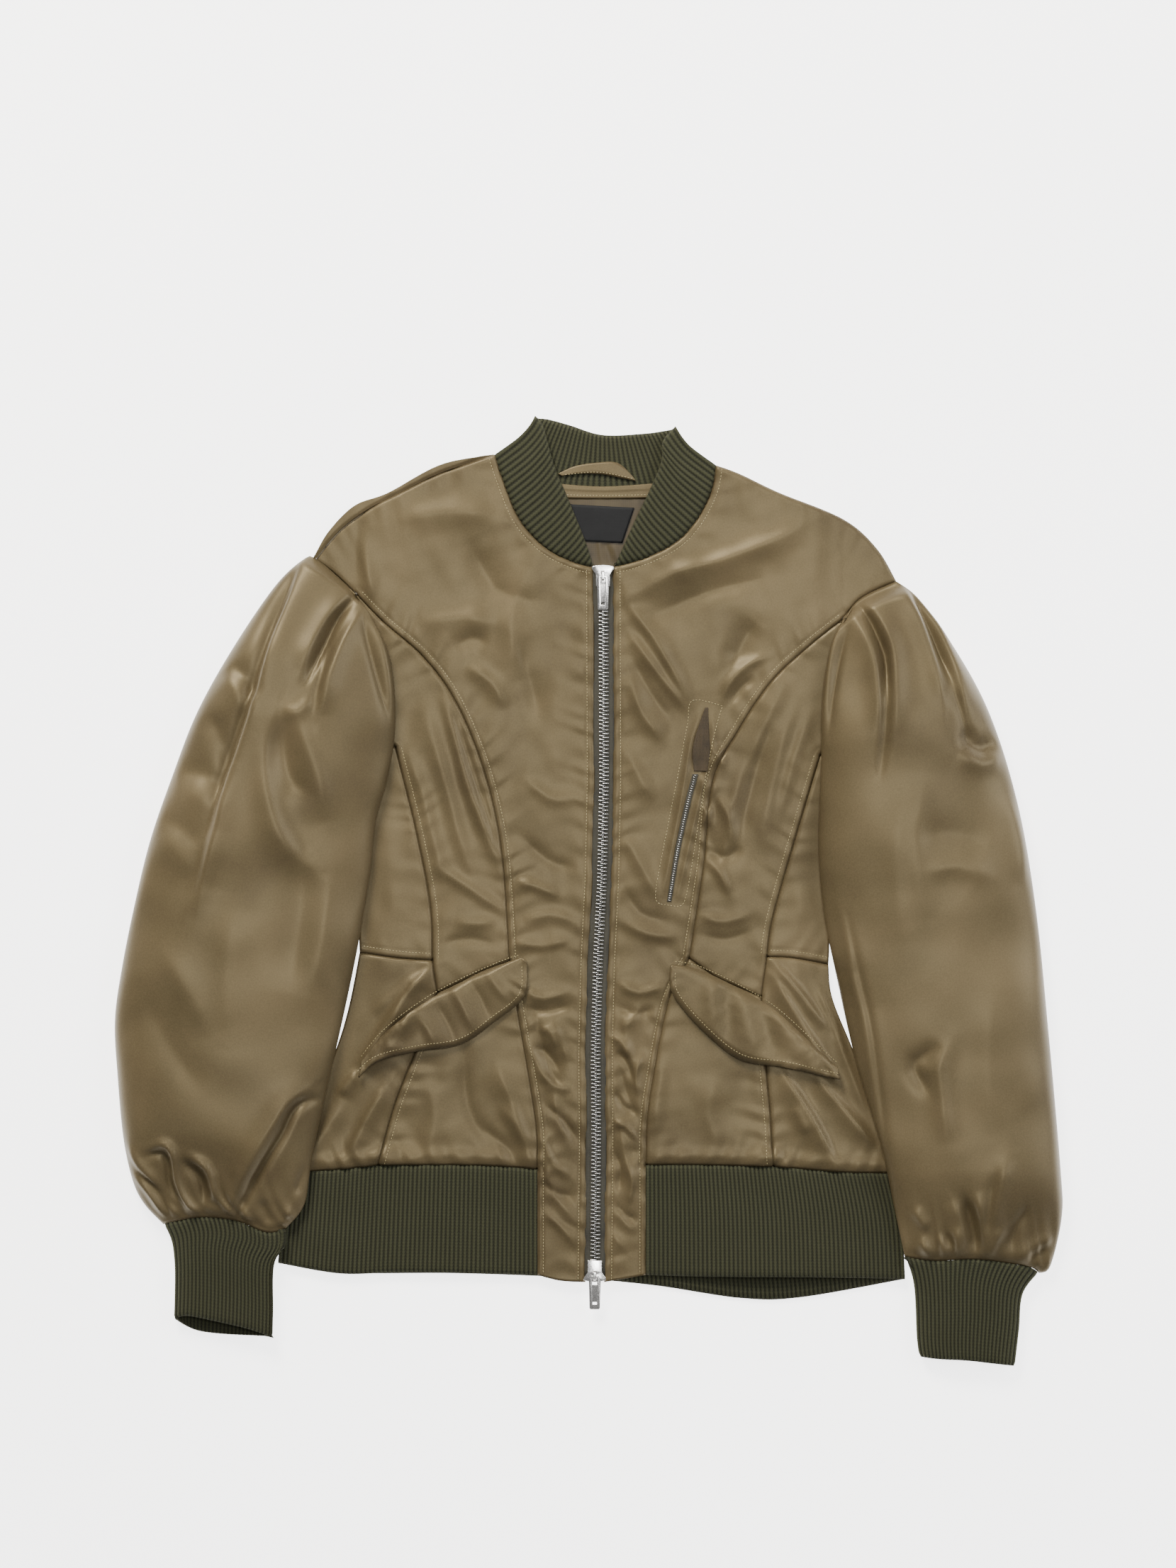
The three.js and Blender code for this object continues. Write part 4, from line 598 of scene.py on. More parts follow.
def ribKnit():
    look = ribLook
    material, tree, shader, at = startMaterial("ribKnitWool", look["shader"])
    uv = addNode(tree, "SeparateXYZ", {"Vector": addNode(tree, "UVMap", uv_map="UVMap").outputs["UV"]})
    inRib = addNode(tree, "Math", {0: uv.outputs["X"]}, operation="FRACT").outputs[0]
    fromMiddle = addNode(tree, "Math", {0: inRib, 1: 0.5}, operation="SUBTRACT").outputs[0]
    away = addNode(tree, "Math", {0: fromMiddle}, operation="ABSOLUTE").outputs[0]
    slant = addNode(tree, "Math", {0: away, 1: look["stitchSlant"], 2: uv.outputs["Y"]},
                    operation="MULTIPLY_ADD").outputs[0]
    turn = addNode(tree, "Math", {0: slant, 1: math.tau}, operation="MULTIPLY").outputs[0]
    stitches = addNode(tree, "Math", {0: turn}, operation="SINE").outputs[0]
    fuzz = addNode(tree, "TexNoise", {"Vector": at, "Scale": 1 / look["fuzz"], "Detail": 2.0}).outputs["Fac"]
    crest = addNode(tree, "MapRange", {"Value": away, "From Min": 0.5, "From Max": 0.12}).outputs[0]
    raised = addNode(tree, "Math", {0: stitches, 1: look["stitchShare"], 2: crest},
                     operation="MULTIPLY_ADD").outputs[0]
    # Painted light and shade: the tone follows the knit's height, lighter on crests and stitch tops and darker
    # in the furrows, with random fuzz on top.
    fuzzAndPaintedShade = addNode(tree, "Math", {0: fuzz, 1: look["fuzzShare"], 2: raised},
                      operation="MULTIPLY_ADD").outputs[0]
    colour = addNode(tree, "ValToRGB", {"Fac": fuzzAndPaintedShade}, look["tones"])
    tree.links.new(colour.outputs["Color"], shader.inputs["Base Color"])
    knit = addNode(tree, "Bump", {"Height": raised, "Strength": 0.5, "Distance": look["stitchDepth"]})
    hairy = addNode(tree, "Bump", {"Height": fuzz, "Strength": 0.4, "Distance": look["fuzzDepth"],
                                   "Normal": knit.outputs["Normal"]})
    tree.links.new(hairy.outputs["Normal"], shader.inputs["Normal"])
    return material


# Woven goods seen flat: zip tape, label and lining. A wave each way stands for warp and weft.
# Real threads are under 0.5 mm apart, so they are drawn a little coarser.
def plainWeave(name, tones, thread, roughness, depth):
    material, tree, shader, at = startMaterial(name, {"Roughness": roughness, "Specular IOR Level": 0.35})
    waves = [addNode(tree, "TexWave", {"Vector": at, "Scale": wavePeriod / thread, "Distortion": 0.4},
                     bands_direction=way).outputs["Fac"] for way in ("X", "Y")]
    crossed = addNode(tree, "Math", {0: waves[0], 1: waves[1]}, operation="MAXIMUM").outputs[0]
    blotch = addNode(tree, "TexNoise", {"Vector": at, "Scale": 60, "Detail": 3.0}).outputs["Fac"]
    shade = addNode(tree, "Math", {0: crossed, 1: 0.4, 2: blotch}, operation="MULTIPLY_ADD").outputs[0]
    colour = addNode(tree, "ValToRGB", {"Fac": shade}, [(0.45, tones[0]), (0.85, tones[1])])
    tree.links.new(colour.outputs["Color"], shader.inputs["Base Color"])
    bump = addNode(tree, "Bump", {"Height": crossed, "Strength": 0.4, "Distance": depth})
    tree.links.new(bump.outputs["Normal"], shader.inputs["Normal"])
    return material


# Nickel-plated brass, die cast and tumbled: bright, with faint handling marks.
def brightNickel():
    material, tree, shader, at = startMaterial("brightNickel", {"Metallic": 1.0})
    marks = addNode(tree, "TexNoise", {"Vector": at, "Scale": 900, "Detail": 3.0}).outputs["Fac"]
    colour = addNode(tree, "ValToRGB", {"Fac": marks}, [(0.3, "d6d4d0"), (0.7, "efedea")])
    tree.links.new(colour.outputs["Color"], shader.inputs["Base Color"])
    rough = addNode(tree, "ValToRGB", {"Fac": marks}, [(0.3, 0.18), (0.8, 0.32)])
    tree.links.new(rough.outputs["Color"], shader.inputs["Roughness"])
    bump = addNode(tree, "Bump", {"Height": marks, "Strength": 0.12, "Distance": 0.05 * mm})
    tree.links.new(bump.outputs["Normal"], shader.inputs["Normal"])
    return material


# Polyester sewing thread, slightly lighter and yellower than the shell.
def sewingThread():
    material, tree, shader, at = startMaterial("sewingThread", {"Roughness": 0.55, "Sheen Weight": 0.3})
    shade = addNode(tree, "TexNoise", {"Vector": at, "Scale": 300}).outputs["Fac"]
    colour = addNode(tree, "ValToRGB", {"Fac": shade}, [(0.3, "8a7c50"), (0.7, "ab9c6c")])
    tree.links.new(colour.outputs["Color"], shader.inputs["Base Color"])
    return material


finishes = {
    "satin": nylonSatin(),
    "rib": ribKnit(),
    "tape": plainWeave("wovenZipTape", ["24231e", "3d3b32"], thread=0.9 * mm,
                       roughness=0.8, depth=0.25 * mm),
    "label": plainWeave("wovenLabelTape", ["030304", "090a0b"], thread=0.7 * mm,
                        roughness=0.7, depth=0.1 * mm),
    "lining": plainWeave("twillLining", ["2c2411", "453a22"], thread=0.8 * mm,
                         roughness=0.45, depth=0.08 * mm),
    "facing": plainWeave("wovenFacing", ["241d11", "3f3423"], thread=1.0 * mm,
                         roughness=0.75, depth=0.3 * mm),
    "nickel": brightNickel(),
    "thread": sewingThread(),
}
print("materials ready")


# Fills the space between four lines that meet at the corners, with columns at the given shares.
def filled(left, right, first, last, shares):
    v = np.linspace(0, 1, len(left))[:, None, None]
    u = shares[None, :, None]
    grid = (1 - v) * first[None] + v * last[None] + (1 - u) * left[:, None] + u * right[:, None]
    corners = (1 - u) * (1 - v) * left[0] + u * (1 - v) * right[0]
    return grid - corners - (1 - u) * v * left[-1] - u * v * right[-1]


def patch(outer, inner, top, bottom, spacing=cloth["spacing"], rows=None, columns=None):
    rows = rows or max(2, round(max(lineLength(outer), lineLength(inner)) / spacing))
    columns = columns or max(2, round(max(lineLength(top), lineLength(bottom)) / spacing))
    sides = [respace(outer, rows), respace(inner, rows), respace(top, columns), respace(bottom, columns)]
    return filled(*sides, np.linspace(0, 1, columns + 1))


# Turns a grid's columns round where its faces would look down.
def seenFromAbove(grid):
    middle = grid[len(grid) // 2]
    across = middle[-1] - middle[0]
    down = grid[-1, grid.shape[1] // 2] - grid[0, grid.shape[1] // 2]
    return grid if across[0] * down[1] - across[1] * down[0] < 0 else grid[:, ::-1]


def selectOnly(piece):
    bpy.ops.object.select_all(action="DESELECT")
    piece.select_set(True)
    bpy.context.view_layer.objects.active = piece


def applyModifier(piece, kind, **settings):
    selectOnly(piece)
    made = piece.modifiers.new(kind.title(), kind)
    for name, value in settings.items():
        setattr(made, name, value)
    bpy.ops.object.modifier_apply(modifier=made.name)


def finishPiece(piece, name, finish, slot, nodes=(), body="jacket"):
    piece.name = name
    piece.data.name = name
    piece.data.materials.clear()
    piece.data.materials.append(finishes[finish])
    selectOnly(piece)
    bpy.ops.object.shade_smooth()
    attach(piece, body)
    if nodes:
        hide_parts(*nodes)


# Sheets of cloth. A grid primitive takes the listed places (rows down, columns to the viewer's
# right), then gets its thickness below them.
def gridOver(places, uv=None):
    rows, columns = places.shape[0] - 1, places.shape[1] - 1
    bpy.ops.object.select_all(action="DESELECT")
    bpy.ops.mesh.primitive_grid_add(x_subdivisions=columns, y_subdivisions=rows, size=1)
    piece = bpy.context.object
    piece.data.vertices.foreach_set("co", places[::-1].reshape(-1).astype(np.float32))
    if uv is not None:
        corners = np.zeros(len(piece.data.loops), np.int32)
        piece.data.loops.foreach_get("vertex_index", corners)
        ofCorners = uv[::-1].reshape(-1, 2)[corners]
        piece.data.uv_layers[0].data.foreach_set("uv", ofCorners.reshape(-1).astype(np.float32))
    piece.data.update()
    return piece


# The wall's underside is pressed flat where it would go through the floor.
def thicken(piece, thick):
    applyModifier(piece, "SOLIDIFY", thickness=thick, offset=-1, use_even_offset=False)
    for v in piece.data.vertices:
        v.co.z = max(v.co.z, 0)
    return piece


def sheetOver(grid, thick, uv=None):
    return thicken(gridOver(grid, uv), thick)


# A tube from rings of places, closed along its seam. It keeps its open ends.
def tubeOver(ring, thick, uv=None):
    piece = gridOver(np.concatenate([ring, ring[:, :1]], 1), uv)
    selectOnly(piece)
    bpy.ops.object.mode_set(mode="EDIT")
    bpy.ops.mesh.select_all(action="SELECT")
    bpy.ops.mesh.remove_doubles(threshold=cloth["weld"])
    bpy.ops.object.mode_set(mode="OBJECT")
    return thicken(piece, thick)


def withHeight(grid, height):
    return liftedTo(grid, over(grid, height))


# Front panels. Each lies between an outer line, a line towards the zip, a top and a bottom.
def frontPanels(side):
    lines = own[side]
    sliver = cloth["sliver"] * view["step"] * (1 if side == "right" else -1)
    start = lines["underArm"][0]
    inner = start + np.array([sliver, -abs(sliver)])
    sideFrontInner = np.vstack([inner[None], lines["princess"][2:]])
    armpit = np.stack([lines["bodyUpper"][0], lines["side"][0]])
    return {
        "centre_front": (lines["princessAll"], lines["opening"], lines["shoulder"], lines["centreHem"]),
        "side_front": (lines["sideAll"], sideFrontInner, np.stack([start, inner]), lines["flapSeam"]),
        "side_body": (lines["bodyUpper"], lines["side"], armpit, lines["waist"]),
        "side_peplum": (lines["bodyLower"], lines["peplum"], lines["waist"], lines["ribTopSide"]),
        "lower_front": (lines["sideLow"], lines["princessLow"], lines["flapSeam"], lines["ribTopFront"]),
    }


def pulledIn(grid, distance):
    middle = grid.reshape(-1, 2).mean(0)
    size = np.abs(grid.reshape(-1, 2) - middle).max()
    return middle + (grid - middle) * (1 - distance / size)


def makeFronts(side):
    for kind, outline in frontPanels(side).items():
        grid = pulledIn(seenFromAbove(patch(*outline)), cloth["seamPull"])
        piece = sheetOver(withHeight(grid, frontFace), cloth["thick"])
        finishPiece(piece, f"{kind}_shell_{side}", "satin", "shell_satin", [f"{kind}_{side}"])
    print("front panels made,", side)


# Stitches: one small capsule, copied along every topstitched line.
stitchForm = {
    "pitch": 2.4 * mm, "long": 1.6 * mm, "wide": 0.62 * mm, "high": 0.5 * mm,
    "sink": 0.08 * mm, "reach": 0.8,  # reach is the share of the pitch over which the slope is taken
    "freeEnd": 1.5 * mm,
}


def capsule(long, wide, high):
    bpy.ops.object.select_all(action="DESELECT")
    bpy.ops.mesh.primitive_uv_sphere_add(segments=5, ring_count=3, radius=0.5)
    piece = bpy.context.object
    bpy.ops.object.mode_set(mode="EDIT")
    bpy.ops.transform.rotate(value=math.pi / 2, orient_axis="Y", center_override=(0, 0, 0))
    bpy.ops.transform.resize(value=(long, wide, high), center_override=(0, 0, 0))
    bpy.ops.object.mode_set(mode="OBJECT")
    return piece


# Copies a small mesh to many places, each with its own heading, as one mesh.
def copiesOf(model, places, ways):
    shape = np.array([v.co for v in model.data.vertices])
    faces = [tuple(p.vertices) for p in model.data.polygons]
    ways = ways / np.linalg.norm(ways, axis=1)[:, None]
    sides = np.cross(np.tile([0.0, 0.0, 1.0], (len(places), 1)), ways)
    sides /= np.linalg.norm(sides, axis=1)[:, None]
    tops = np.cross(ways, sides)
    turned = (shape[None, :, 0, None] * ways[:, None] + shape[None, :, 1, None] * sides[:, None]
              + shape[None, :, 2, None] * tops[:, None] + places[:, None])
    count = len(shape)
    mesh = bpy.data.meshes.new("copies")
    allFaces = [tuple(k * count + v for v in face) for k in range(len(places)) for face in faces]
    mesh.from_pydata(turned.reshape(-1, 3).tolist(), [], allFaces)
    piece = bpy.data.objects.new("copies", mesh)
    bpy.context.scene.collection.objects.link(piece)
    bpy.data.objects.remove(model)
    return piece


def stitchRun(line, height):
    form = stitchForm
    ends = respace(line, max(2, round(lineLength(line) / form["pitch"])))
    middles = (ends[:-1] + ends[1:]) / 2
    half = (ends[1:] - ends[:-1]) / 2
    before, after = height(middles - form["reach"] * half), height(middles + form["reach"] * half)
    places = liftedTo(middles, (before + after) / 2 - form["sink"] + form["high"] / 2)
    return places, liftedTo(2 * form["reach"] * half, after - before)


def makeStitches(name, runs):
    places = np.vstack([run[0] for run in runs])
    ways = np.vstack([run[1] for run in runs])
    model = capsule(stitchForm["long"], stitchForm["wide"], stitchForm["high"])
    finishPiece(copiesOf(model, places, ways), name, "thread", "shell_satin")


def makeFrontStitches(side):
    runs = []
    for row in sewn:
        if row["stitch"]:
            seam = own[side][row["seam"]]
            line = seam + sideways(seam) * stitchOffset(side, row)
            runs.append(stitchRun(trimmed(line, stitchForm["freeEnd"], stitchForm["freeEnd"]), frontFace))
    makeStitches(f"front_topstitch_{side}", runs)


# Pocket flaps: two layers, stitched inside the free edge, with the outer tip lifted.
flapForm = {
    "thick": 1.7 * mm, "clear": 1.2 * mm, "tipLift": 4.4 * mm, "liftReach": 30 * mm, "liftFrom": 0.25,
    "inset": 4.2 * mm, "above": 0.55, "tipEnd": 2 * mm, "rootEnd": 3 * mm,
    "spacing": 1.6 * mm, "restReach": 9 * mm, "edgeReach": 20 * mm,
    "groove": 0.35 * mm, "grooveWide": 0.9 * mm, "edgeDrop": 0.5 * mm,
    "rootDrop": 1.2 * mm, "rootWide": 1.6 * mm,
    "wave": 0.3 * mm, "wavePitch": 7 * mm, "waveReach": 6 * mm,
    "flat": (0.125, 0.055), "area": 0.0046,
}
flapFolds = {
    "right": [
        [6, 5, 1.9, (540, 1475), (572, 1478)],
        [4, 8, 2.4, (585, 1428), (606, 1455), (612, 1480)],
        [5, 5, -1.7, (612, 1412), (632, 1445), (640, 1470)],
        [4, 6, 2.2, (640, 1396), (655, 1425), (668, 1455)],
        [4, 4, -1.6, (665, 1385), (680, 1412), (690, 1440)],
        [4, 5, 1.7, (690, 1375), (702, 1395), (716, 1412)],
    ],
    "left": [
        [5, 6, 2.2, (1000, 1380), (1004, 1412), (1010, 1450)],
        [4, 5, -1.7, (1018, 1390), (1026, 1430), (1032, 1470)],
        [5, 7, 2.4, (1040, 1400), (1052, 1440), (1068, 1485)],
        [4, 5, -1.6, (1066, 1420), (1082, 1455), (1094, 1490)],
        [5, 6, 1.9, (1092, 1435), (1110, 1470), (1128, 1500)],
        [4, 4, 1.4, (1135, 1470), (1150, 1490), (1165, 1508)],
    ],
}


def highestNear(points, reach, looks=8):
    top = frontFace(points, detail=False)
    for k in range(looks):
        turn = k * math.tau / looks
        shift = reach * np.array([math.cos(turn), math.sin(turn)])
        top = np.maximum(top, frontFace(points + shift, detail=False))
    return top


def flapFace(side, lines):
    form = flapForm

    def height(points):
        tip, root = lines["flapTop"][0], lines["flapTop"][-1]
        towardsTip = 1 - np.clip((points - tip) @ (root - tip) / ((root - tip) @ (root - tip)), 0, 1)
        down = np.abs(nearLine(points, lines["flapTop"], cloth["allNear"])[1])
        top = highestNear(points, form["restReach"]) + form["clear"] + form["thick"]
        lift = form["tipLift"] * ease(0, 1, down / form["liftReach"]) * ease(form["liftFrom"], 1, towardsTip)
        rise = foldRise(points, flapFolds[side])
        chosen, gap, along, length = nearLine(points, lines["flapEdge"], form["edgeReach"])
        gap = np.abs(gap)
        edge = np.zeros(len(points))
        groove = hump(gap - form["inset"], form["grooveWide"]) * form["groove"]
        beside = np.exp(-np.abs(gap - form["inset"]) / form["waveReach"])
        wave = puckers(along, length, form["wavePitch"], 5) * form["wave"] * beside
        edge[chosen] = wave - groove - form["edgeDrop"] * hump(gap, form["grooveWide"])
        return top + lift + rise + edge - form["rootDrop"] * hump(down, form["rootWide"])
    return height


def makeFlap(side):
    lines, form = own[side], flapForm
    tip, root = endsBetween(lines["flapTop"], lines["flapEdge"])
    grid = seenFromAbove(patch(tip, root, lines["flapTop"], lines["flapEdge"], form["spacing"]))
    height = flapFace(side, lines)
    piece = sheetOver(withHeight(grid, height), form["thick"])
    finishPiece(piece, f"flap_shell_{side}", "satin", "shell_satin", [f"pocket_flap_{side}"])
    inset = form["inset"] * (1 if side == "right" else -1)
    edge = lines["flapEdge"] + sideways(lines["flapEdge"]) * inset
    above = lines["flapTop"] + sideways(lines["flapTop"]) * (form["above"] * inset)
    runs = [stitchRun(trimmed(edge, form["tipEnd"], form["rootEnd"]), height),
            stitchRun(trimmed(above, form["tipEnd"], form["tipEnd"]), frontFace)]
    makeStitches(f"flap_topstitch_{side}", runs)


# Sleeves: full tubes from the armhole to the cuff. The outer edge is the jacket's outline and the
# inner edge lies on or beside the body.
sleeves = {
    "right": {
        "outer": [[444, 790], [432, 786], [389, 825], [328, 915], [278, 1005], [243, 1095], [212, 1185],
                  [190, 1275],
                  [172, 1365], [162, 1440], [166, 1520], [174, 1605], [187, 1665], [203, 1698],
                   [230, 1727]],
        "inner": [[502, 838], [528, 876], [552, 935], [558, 1024], [547, 1097], [530, 1160], [522, 1233],
                  [506, 1330], [487, 1423], [462, 1534], [441, 1630], [430, 1698], [403, 1733]],
        "cuffSeam": [[230, 1727], [279, 1717], [331, 1721], [376, 1738], [403, 1733]],
    },
    "left": {
        "outer": [[1265, 820], [1295, 843], [1339, 902], [1394, 1002], [1435, 1131], [1461, 1279],
                  [1478, 1443],
                  [1496, 1647], [1498, 1716], [1482, 1786], [1466, 1796]],
        "inner": [[1192, 872], [1172, 913], [1160, 987], [1158, 1087], [1155, 1200], [1163, 1293],
                  [1182, 1387],
                  [1207, 1497], [1241, 1610], [1262, 1708], [1276, 1773]],
        "cuffSeam": [[1276, 1773], [1321, 1778], [1378, 1776], [1447, 1786], [1466, 1796]],
    },
}
# Pairs of numbers are shares of the way down over which something sets in.
sleeveForm = {
    "rows": 204, "topCells": 104, "underCells": 24, "thick": 1.0 * mm,
    "roundEdge": 8.5 * mm, "edgeStart": 0.6, "edgeRise": (0, 0.2), "overBody": 4 * mm,
    "cap": 15 * mm, "full": 31 * mm, "cuff": 18 * mm, "capRise": (0, 0.22), "cuffFall": (0.86, 1),
    "crownTop": 2.6, "crownUnder": 8,  # higher is boxier
    "gatherPitch": 6.5 * mm, "gatherRise": 1.6 * mm, "gatherLength": 0.16, "gatherAt": (0.88, 0.985),
    "slack": 1.1 * mm, "slackSize": 110 * mm, "slackAt": (0.02, 0.15),
    "foldFrom": 0.6, "lowest": 0.05 * mm,
    "underBody": 0.6 * mm, "bodyTuck": (0, 0.03), "underCuff": 0.7 * mm, "cuffTuck": (0.972, 1),
    "flat": (0.42, 0.53), "area": 0.165,
}
cuffForm = {
    "ribs": 27, "underCells": 54, "rows": 25, "height": 15 * mm, "coverage": 0.8, "deep": 0.075,
    "slack": 0.5 * mm, "slackSize": 60 * mm, "wristRoll": 0.6 * mm, "underLift": 0.9 * mm,
    "flat": (0.185, 0.08), "area": 0.0142,
}
sleeveFolds = {
    "right": [
        [3, 18, 6.0, (424, 798), (412, 840), (388, 898), (362, 987), (347, 1032), (325, 1094),
         (306, 1168), (286, 1250)],
        [5, 3, -4.4, (420, 803), (404, 840), (378, 905), (352, 990), (336, 1040), (312, 1110), (296, 1170)],
        [5, 10, 2.6, (306, 1168), (288, 1242), (266, 1290)],
        [3, 2.6, -6.0, (503, 841), (478, 872), (462, 905), (448, 934), (434, 965)],
        [10, 3, 3.6, (490, 842), (462, 872), (440, 912), (426, 950)],
        [4, 9, 4.7, (512, 862), (492, 890), (476, 925), (462, 965), (452, 1010)],
        [3, 3, -2.9, (512, 870), (524, 920), (540, 975), (550, 1015)],
        [5, 4, 3.1, (522, 868), (538, 910), (550, 960), (556, 1010)],
        [3, 3, -2.6, (470, 905), (452, 960), (446, 1000)],
        [12, 7, 4.4, (392, 1000), (378, 1050), (378, 1110), (392, 1165), (417, 1205), (447, 1228)],
        [9, 9, -3.9, (402, 1010), (402, 1055), (412, 1100), (440, 1120)],
        [12, 9, 3.4, (415, 1000), (430, 1045), (452, 1100), (462, 1160)],
        [6, 5, 2.6, (400, 1000), (422, 1004), (440, 985)],
        [7, 8, -2.6, (330, 935), (345, 955), (368, 985)],
        [9, 8, 2.0, (318, 950), (335, 975), (356, 1005)],
        [8, 8, -2.4, (298, 1005), (312, 1040), (322, 1085)],
        [9, 9, -2.2, (252, 1090), (290, 1092), (320, 1118)],
        [11, 11, 1.2, (258, 1118), (290, 1130), (318, 1150)],
        [10, 10, -2.0, (225, 1155), (255, 1165), (285, 1195)],
        [11, 11, 1.2, (222, 1185), (250, 1200), (275, 1235)],
        [14, 14, 2.6, (225, 1330), (262, 1390), (300, 1460)],
        [12, 14, -2.1, (205, 1400), (240, 1470), (290, 1540)],
        [14, 14, 2.3, (330, 1280), (322, 1380), (325, 1480)],
        [16, 12, -2.3, (430, 1180), (425, 1290), (410, 1400)],
        [12, 10, 2.6, (470, 1230), (455, 1320), (440, 1400)],
        [7, 7, 3.4, (455, 1542), (425, 1560), (398, 1597), (375, 1632), (352, 1675), (336, 1712)],
        [3.0, 3.4, -7.0, (452, 1549), (432, 1552), (415, 1567), (400, 1597), (377, 1634), (354, 1676),
         (336, 1714)],
        [10, 4, 5.2, (440, 1530), (408, 1550), (385, 1585), (360, 1625), (338, 1668), (322, 1710)],
        [4, 3, 4.6, (212, 1620), (232, 1612), (246, 1628), (250, 1660), (262, 1690), (285, 1716)],
        [3, 3, -4.4, (205, 1630), (228, 1624), (238, 1640), (242, 1672), (262, 1704)],
        [4, 3, 4.2, (268, 1628), (298, 1652), (304, 1700)],
        [3, 3, -3.8, (258, 1636), (284, 1662), (290, 1700)],
        [3, 4, 3.1, (182, 1612), (200, 1645), (225, 1672)],
        [3, 3, 2.9, (186, 1650), (213, 1682), (233, 1716)],
        [3, 3, -2.6, (196, 1648), (222, 1680), (242, 1718)],
        [3, 4, 2.6, (345, 1696), (349, 1716), (351, 1724)],
        [4, 4, 2.6, (424, 1676), (412, 1700), (402, 1722)],
        [4, 4, -2.3, (436, 1640), (420, 1680), (408, 1712)],
        [5, 5, -2.1, (370, 1690), (376, 1712), (380, 1730)],
    ],
    "left": [
        [3, 2.6, -6.4, (1207, 850), (1225, 872), (1240, 905), (1248, 930), (1249, 985)],
        [9, 4, 4.9, (1198, 862), (1214, 885), (1228, 915), (1237, 960), (1238, 1030)],
        [4, 9, 4.4, (1222, 850), (1243, 878), (1258, 915), (1262, 970), (1258, 1040)],
        [3, 3, -3.1, (1249, 985), (1246, 1040), (1239, 1095)],
        [4, 4, 3.1, (1193, 872), (1178, 900), (1170, 940), (1164, 1000), (1162, 1045)],
        [3, 3, -3.4, (1196, 890), (1182, 930), (1172, 985), (1168, 1040)],
        [3, 3, -6.0, (1284, 826), (1302, 860), (1318, 895), (1332, 932), (1342, 965)],
        [8, 4, 4.4, (1272, 830), (1292, 868), (1306, 905), (1320, 950), (1330, 1000)],
        [4, 9, 4.2, (1298, 838), (1318, 872), (1336, 915), (1352, 965), (1362, 1020)],
        [3, 3, -2.3, (1342, 965), (1354, 1005), (1366, 1048)],
        [6, 8, -4.0, (1352, 1032), (1380, 1056), (1404, 1044)],
        [8, 8, 3.0, (1350, 1062), (1385, 1078), (1412, 1060)],
        [9, 9, 2.3, (1300, 1230), (1350, 1222), (1400, 1240)],
        [12, 12, -2.1, (1290, 1180), (1340, 1175), (1395, 1190)],
        [9, 9, 2.6, (1420, 1120), (1436, 1180), (1442, 1250)],
        [12, 12, 2.6, (1300, 1090), (1292, 1190), (1300, 1300)],
        [14, 12, 2.1, (1270, 1120), (1262, 1220), (1275, 1330)],
        [5, 9, 3.1, (1180, 1268), (1196, 1324), (1206, 1385), (1220, 1440), (1232, 1520), (1245, 1610),
         (1262, 1700)],
        [3, 3, -2.3, (1194, 1290), (1208, 1360), (1228, 1450), (1240, 1540), (1254, 1640)],
        [6, 6, -4.2, (1325, 1472), (1300, 1490), (1288, 1506), (1312, 1545)],
        [8, 8, 4.0, (1340, 1462), (1322, 1500), (1326, 1545), (1335, 1612)],
        [14, 14, 2.1, (1400, 1400), (1390, 1500), (1405, 1600)],
        [4, 4, -5.2, (1356, 1686), (1368, 1722), (1376, 1752), (1379, 1772)],
        [7, 4, 4.2, (1342, 1690), (1354, 1722), (1362, 1760)],
        [4, 8, 4.4, (1372, 1680), (1384, 1715), (1390, 1760)],
        [7, 7, 3.4, (1420, 1630), (1404, 1685), (1397, 1745)],
        [4, 4, -3.4, (1402, 1650), (1394, 1700), (1389, 1745)],
        [4, 4, 2.9, (1288, 1702), (1298, 1718), (1309, 1732)],
        [4, 4, 2.9, (1299, 1746), (1306, 1762), (1313, 1776)],
        [3, 4, 2.9, (1322, 1742), (1331, 1756), (1339, 1772)],
        [3, 3, -2.6, (1330, 1738), (1342, 1756), (1347, 1772)],
        [4, 4, 2.9, (1345, 1728), (1349, 1748), (1351, 1770)],
        [4, 4, 2.9, (1412, 1730), (1402, 1750), (1398, 1768)],
        [6, 6, 2.0, (1490, 1744), (1472, 1750), (1448, 1764), (1436, 1780)],
        [4, 4, -1.6, (1484, 1760), (1468, 1766), (1450, 1782)],
        [5, 5, -2.6, (1450, 1700), (1432, 1730), (1420, 1765)],
    ],
}


def stepUp(points, side):
    return cloth["overBody"] * ease(-9 * mm, -2 * mm, insideSides(points, side))


def atShares(line, shares):
    even = respace(line, 200)
    return np.stack([np.interp(shares, np.linspace(0, 1, len(even)), even[:, k]) for k in range(2)], 1)


def tubePlan(shape, armhole, side, shares, rows):
    line = {name: curve(table) for name, table in shape.items()}
    outer, inner = respace(line["outer"], rows), respace(line["inner"], rows)
    left, right = (outer, inner) if side == "right" else (inner, outer)
    first = atShares(armhole if side == "right" else armhole[::-1], shares)
    return filled(left, right, first, atShares(line["cuffSeam"], shares), shares), left, right


def edgeHeights(left, right, side, coverage):
    lift = sleeveForm["roundEdge"] * coverage
    return [np.maximum(lift, stepUp(line, side) + sleeveForm["overBody"]) for line in (left, right)]


def crown(shares, power):
    return np.sqrt(np.maximum(0, 1 - np.abs(2 * shares - 1) ** power))


def between(ends, shares):
    return ends[0][:, None] * (1 - shares) + ends[1][:, None] * shares


def ringNormals(ring):
    around = np.roll(ring, -1, 1) - np.roll(ring, 1, 1)
    normals = np.cross(np.gradient(ring, axis=0), around)
    size = np.linalg.norm(normals, axis=2, keepdims=True)
    return normals / np.maximum(size, 1e-12)


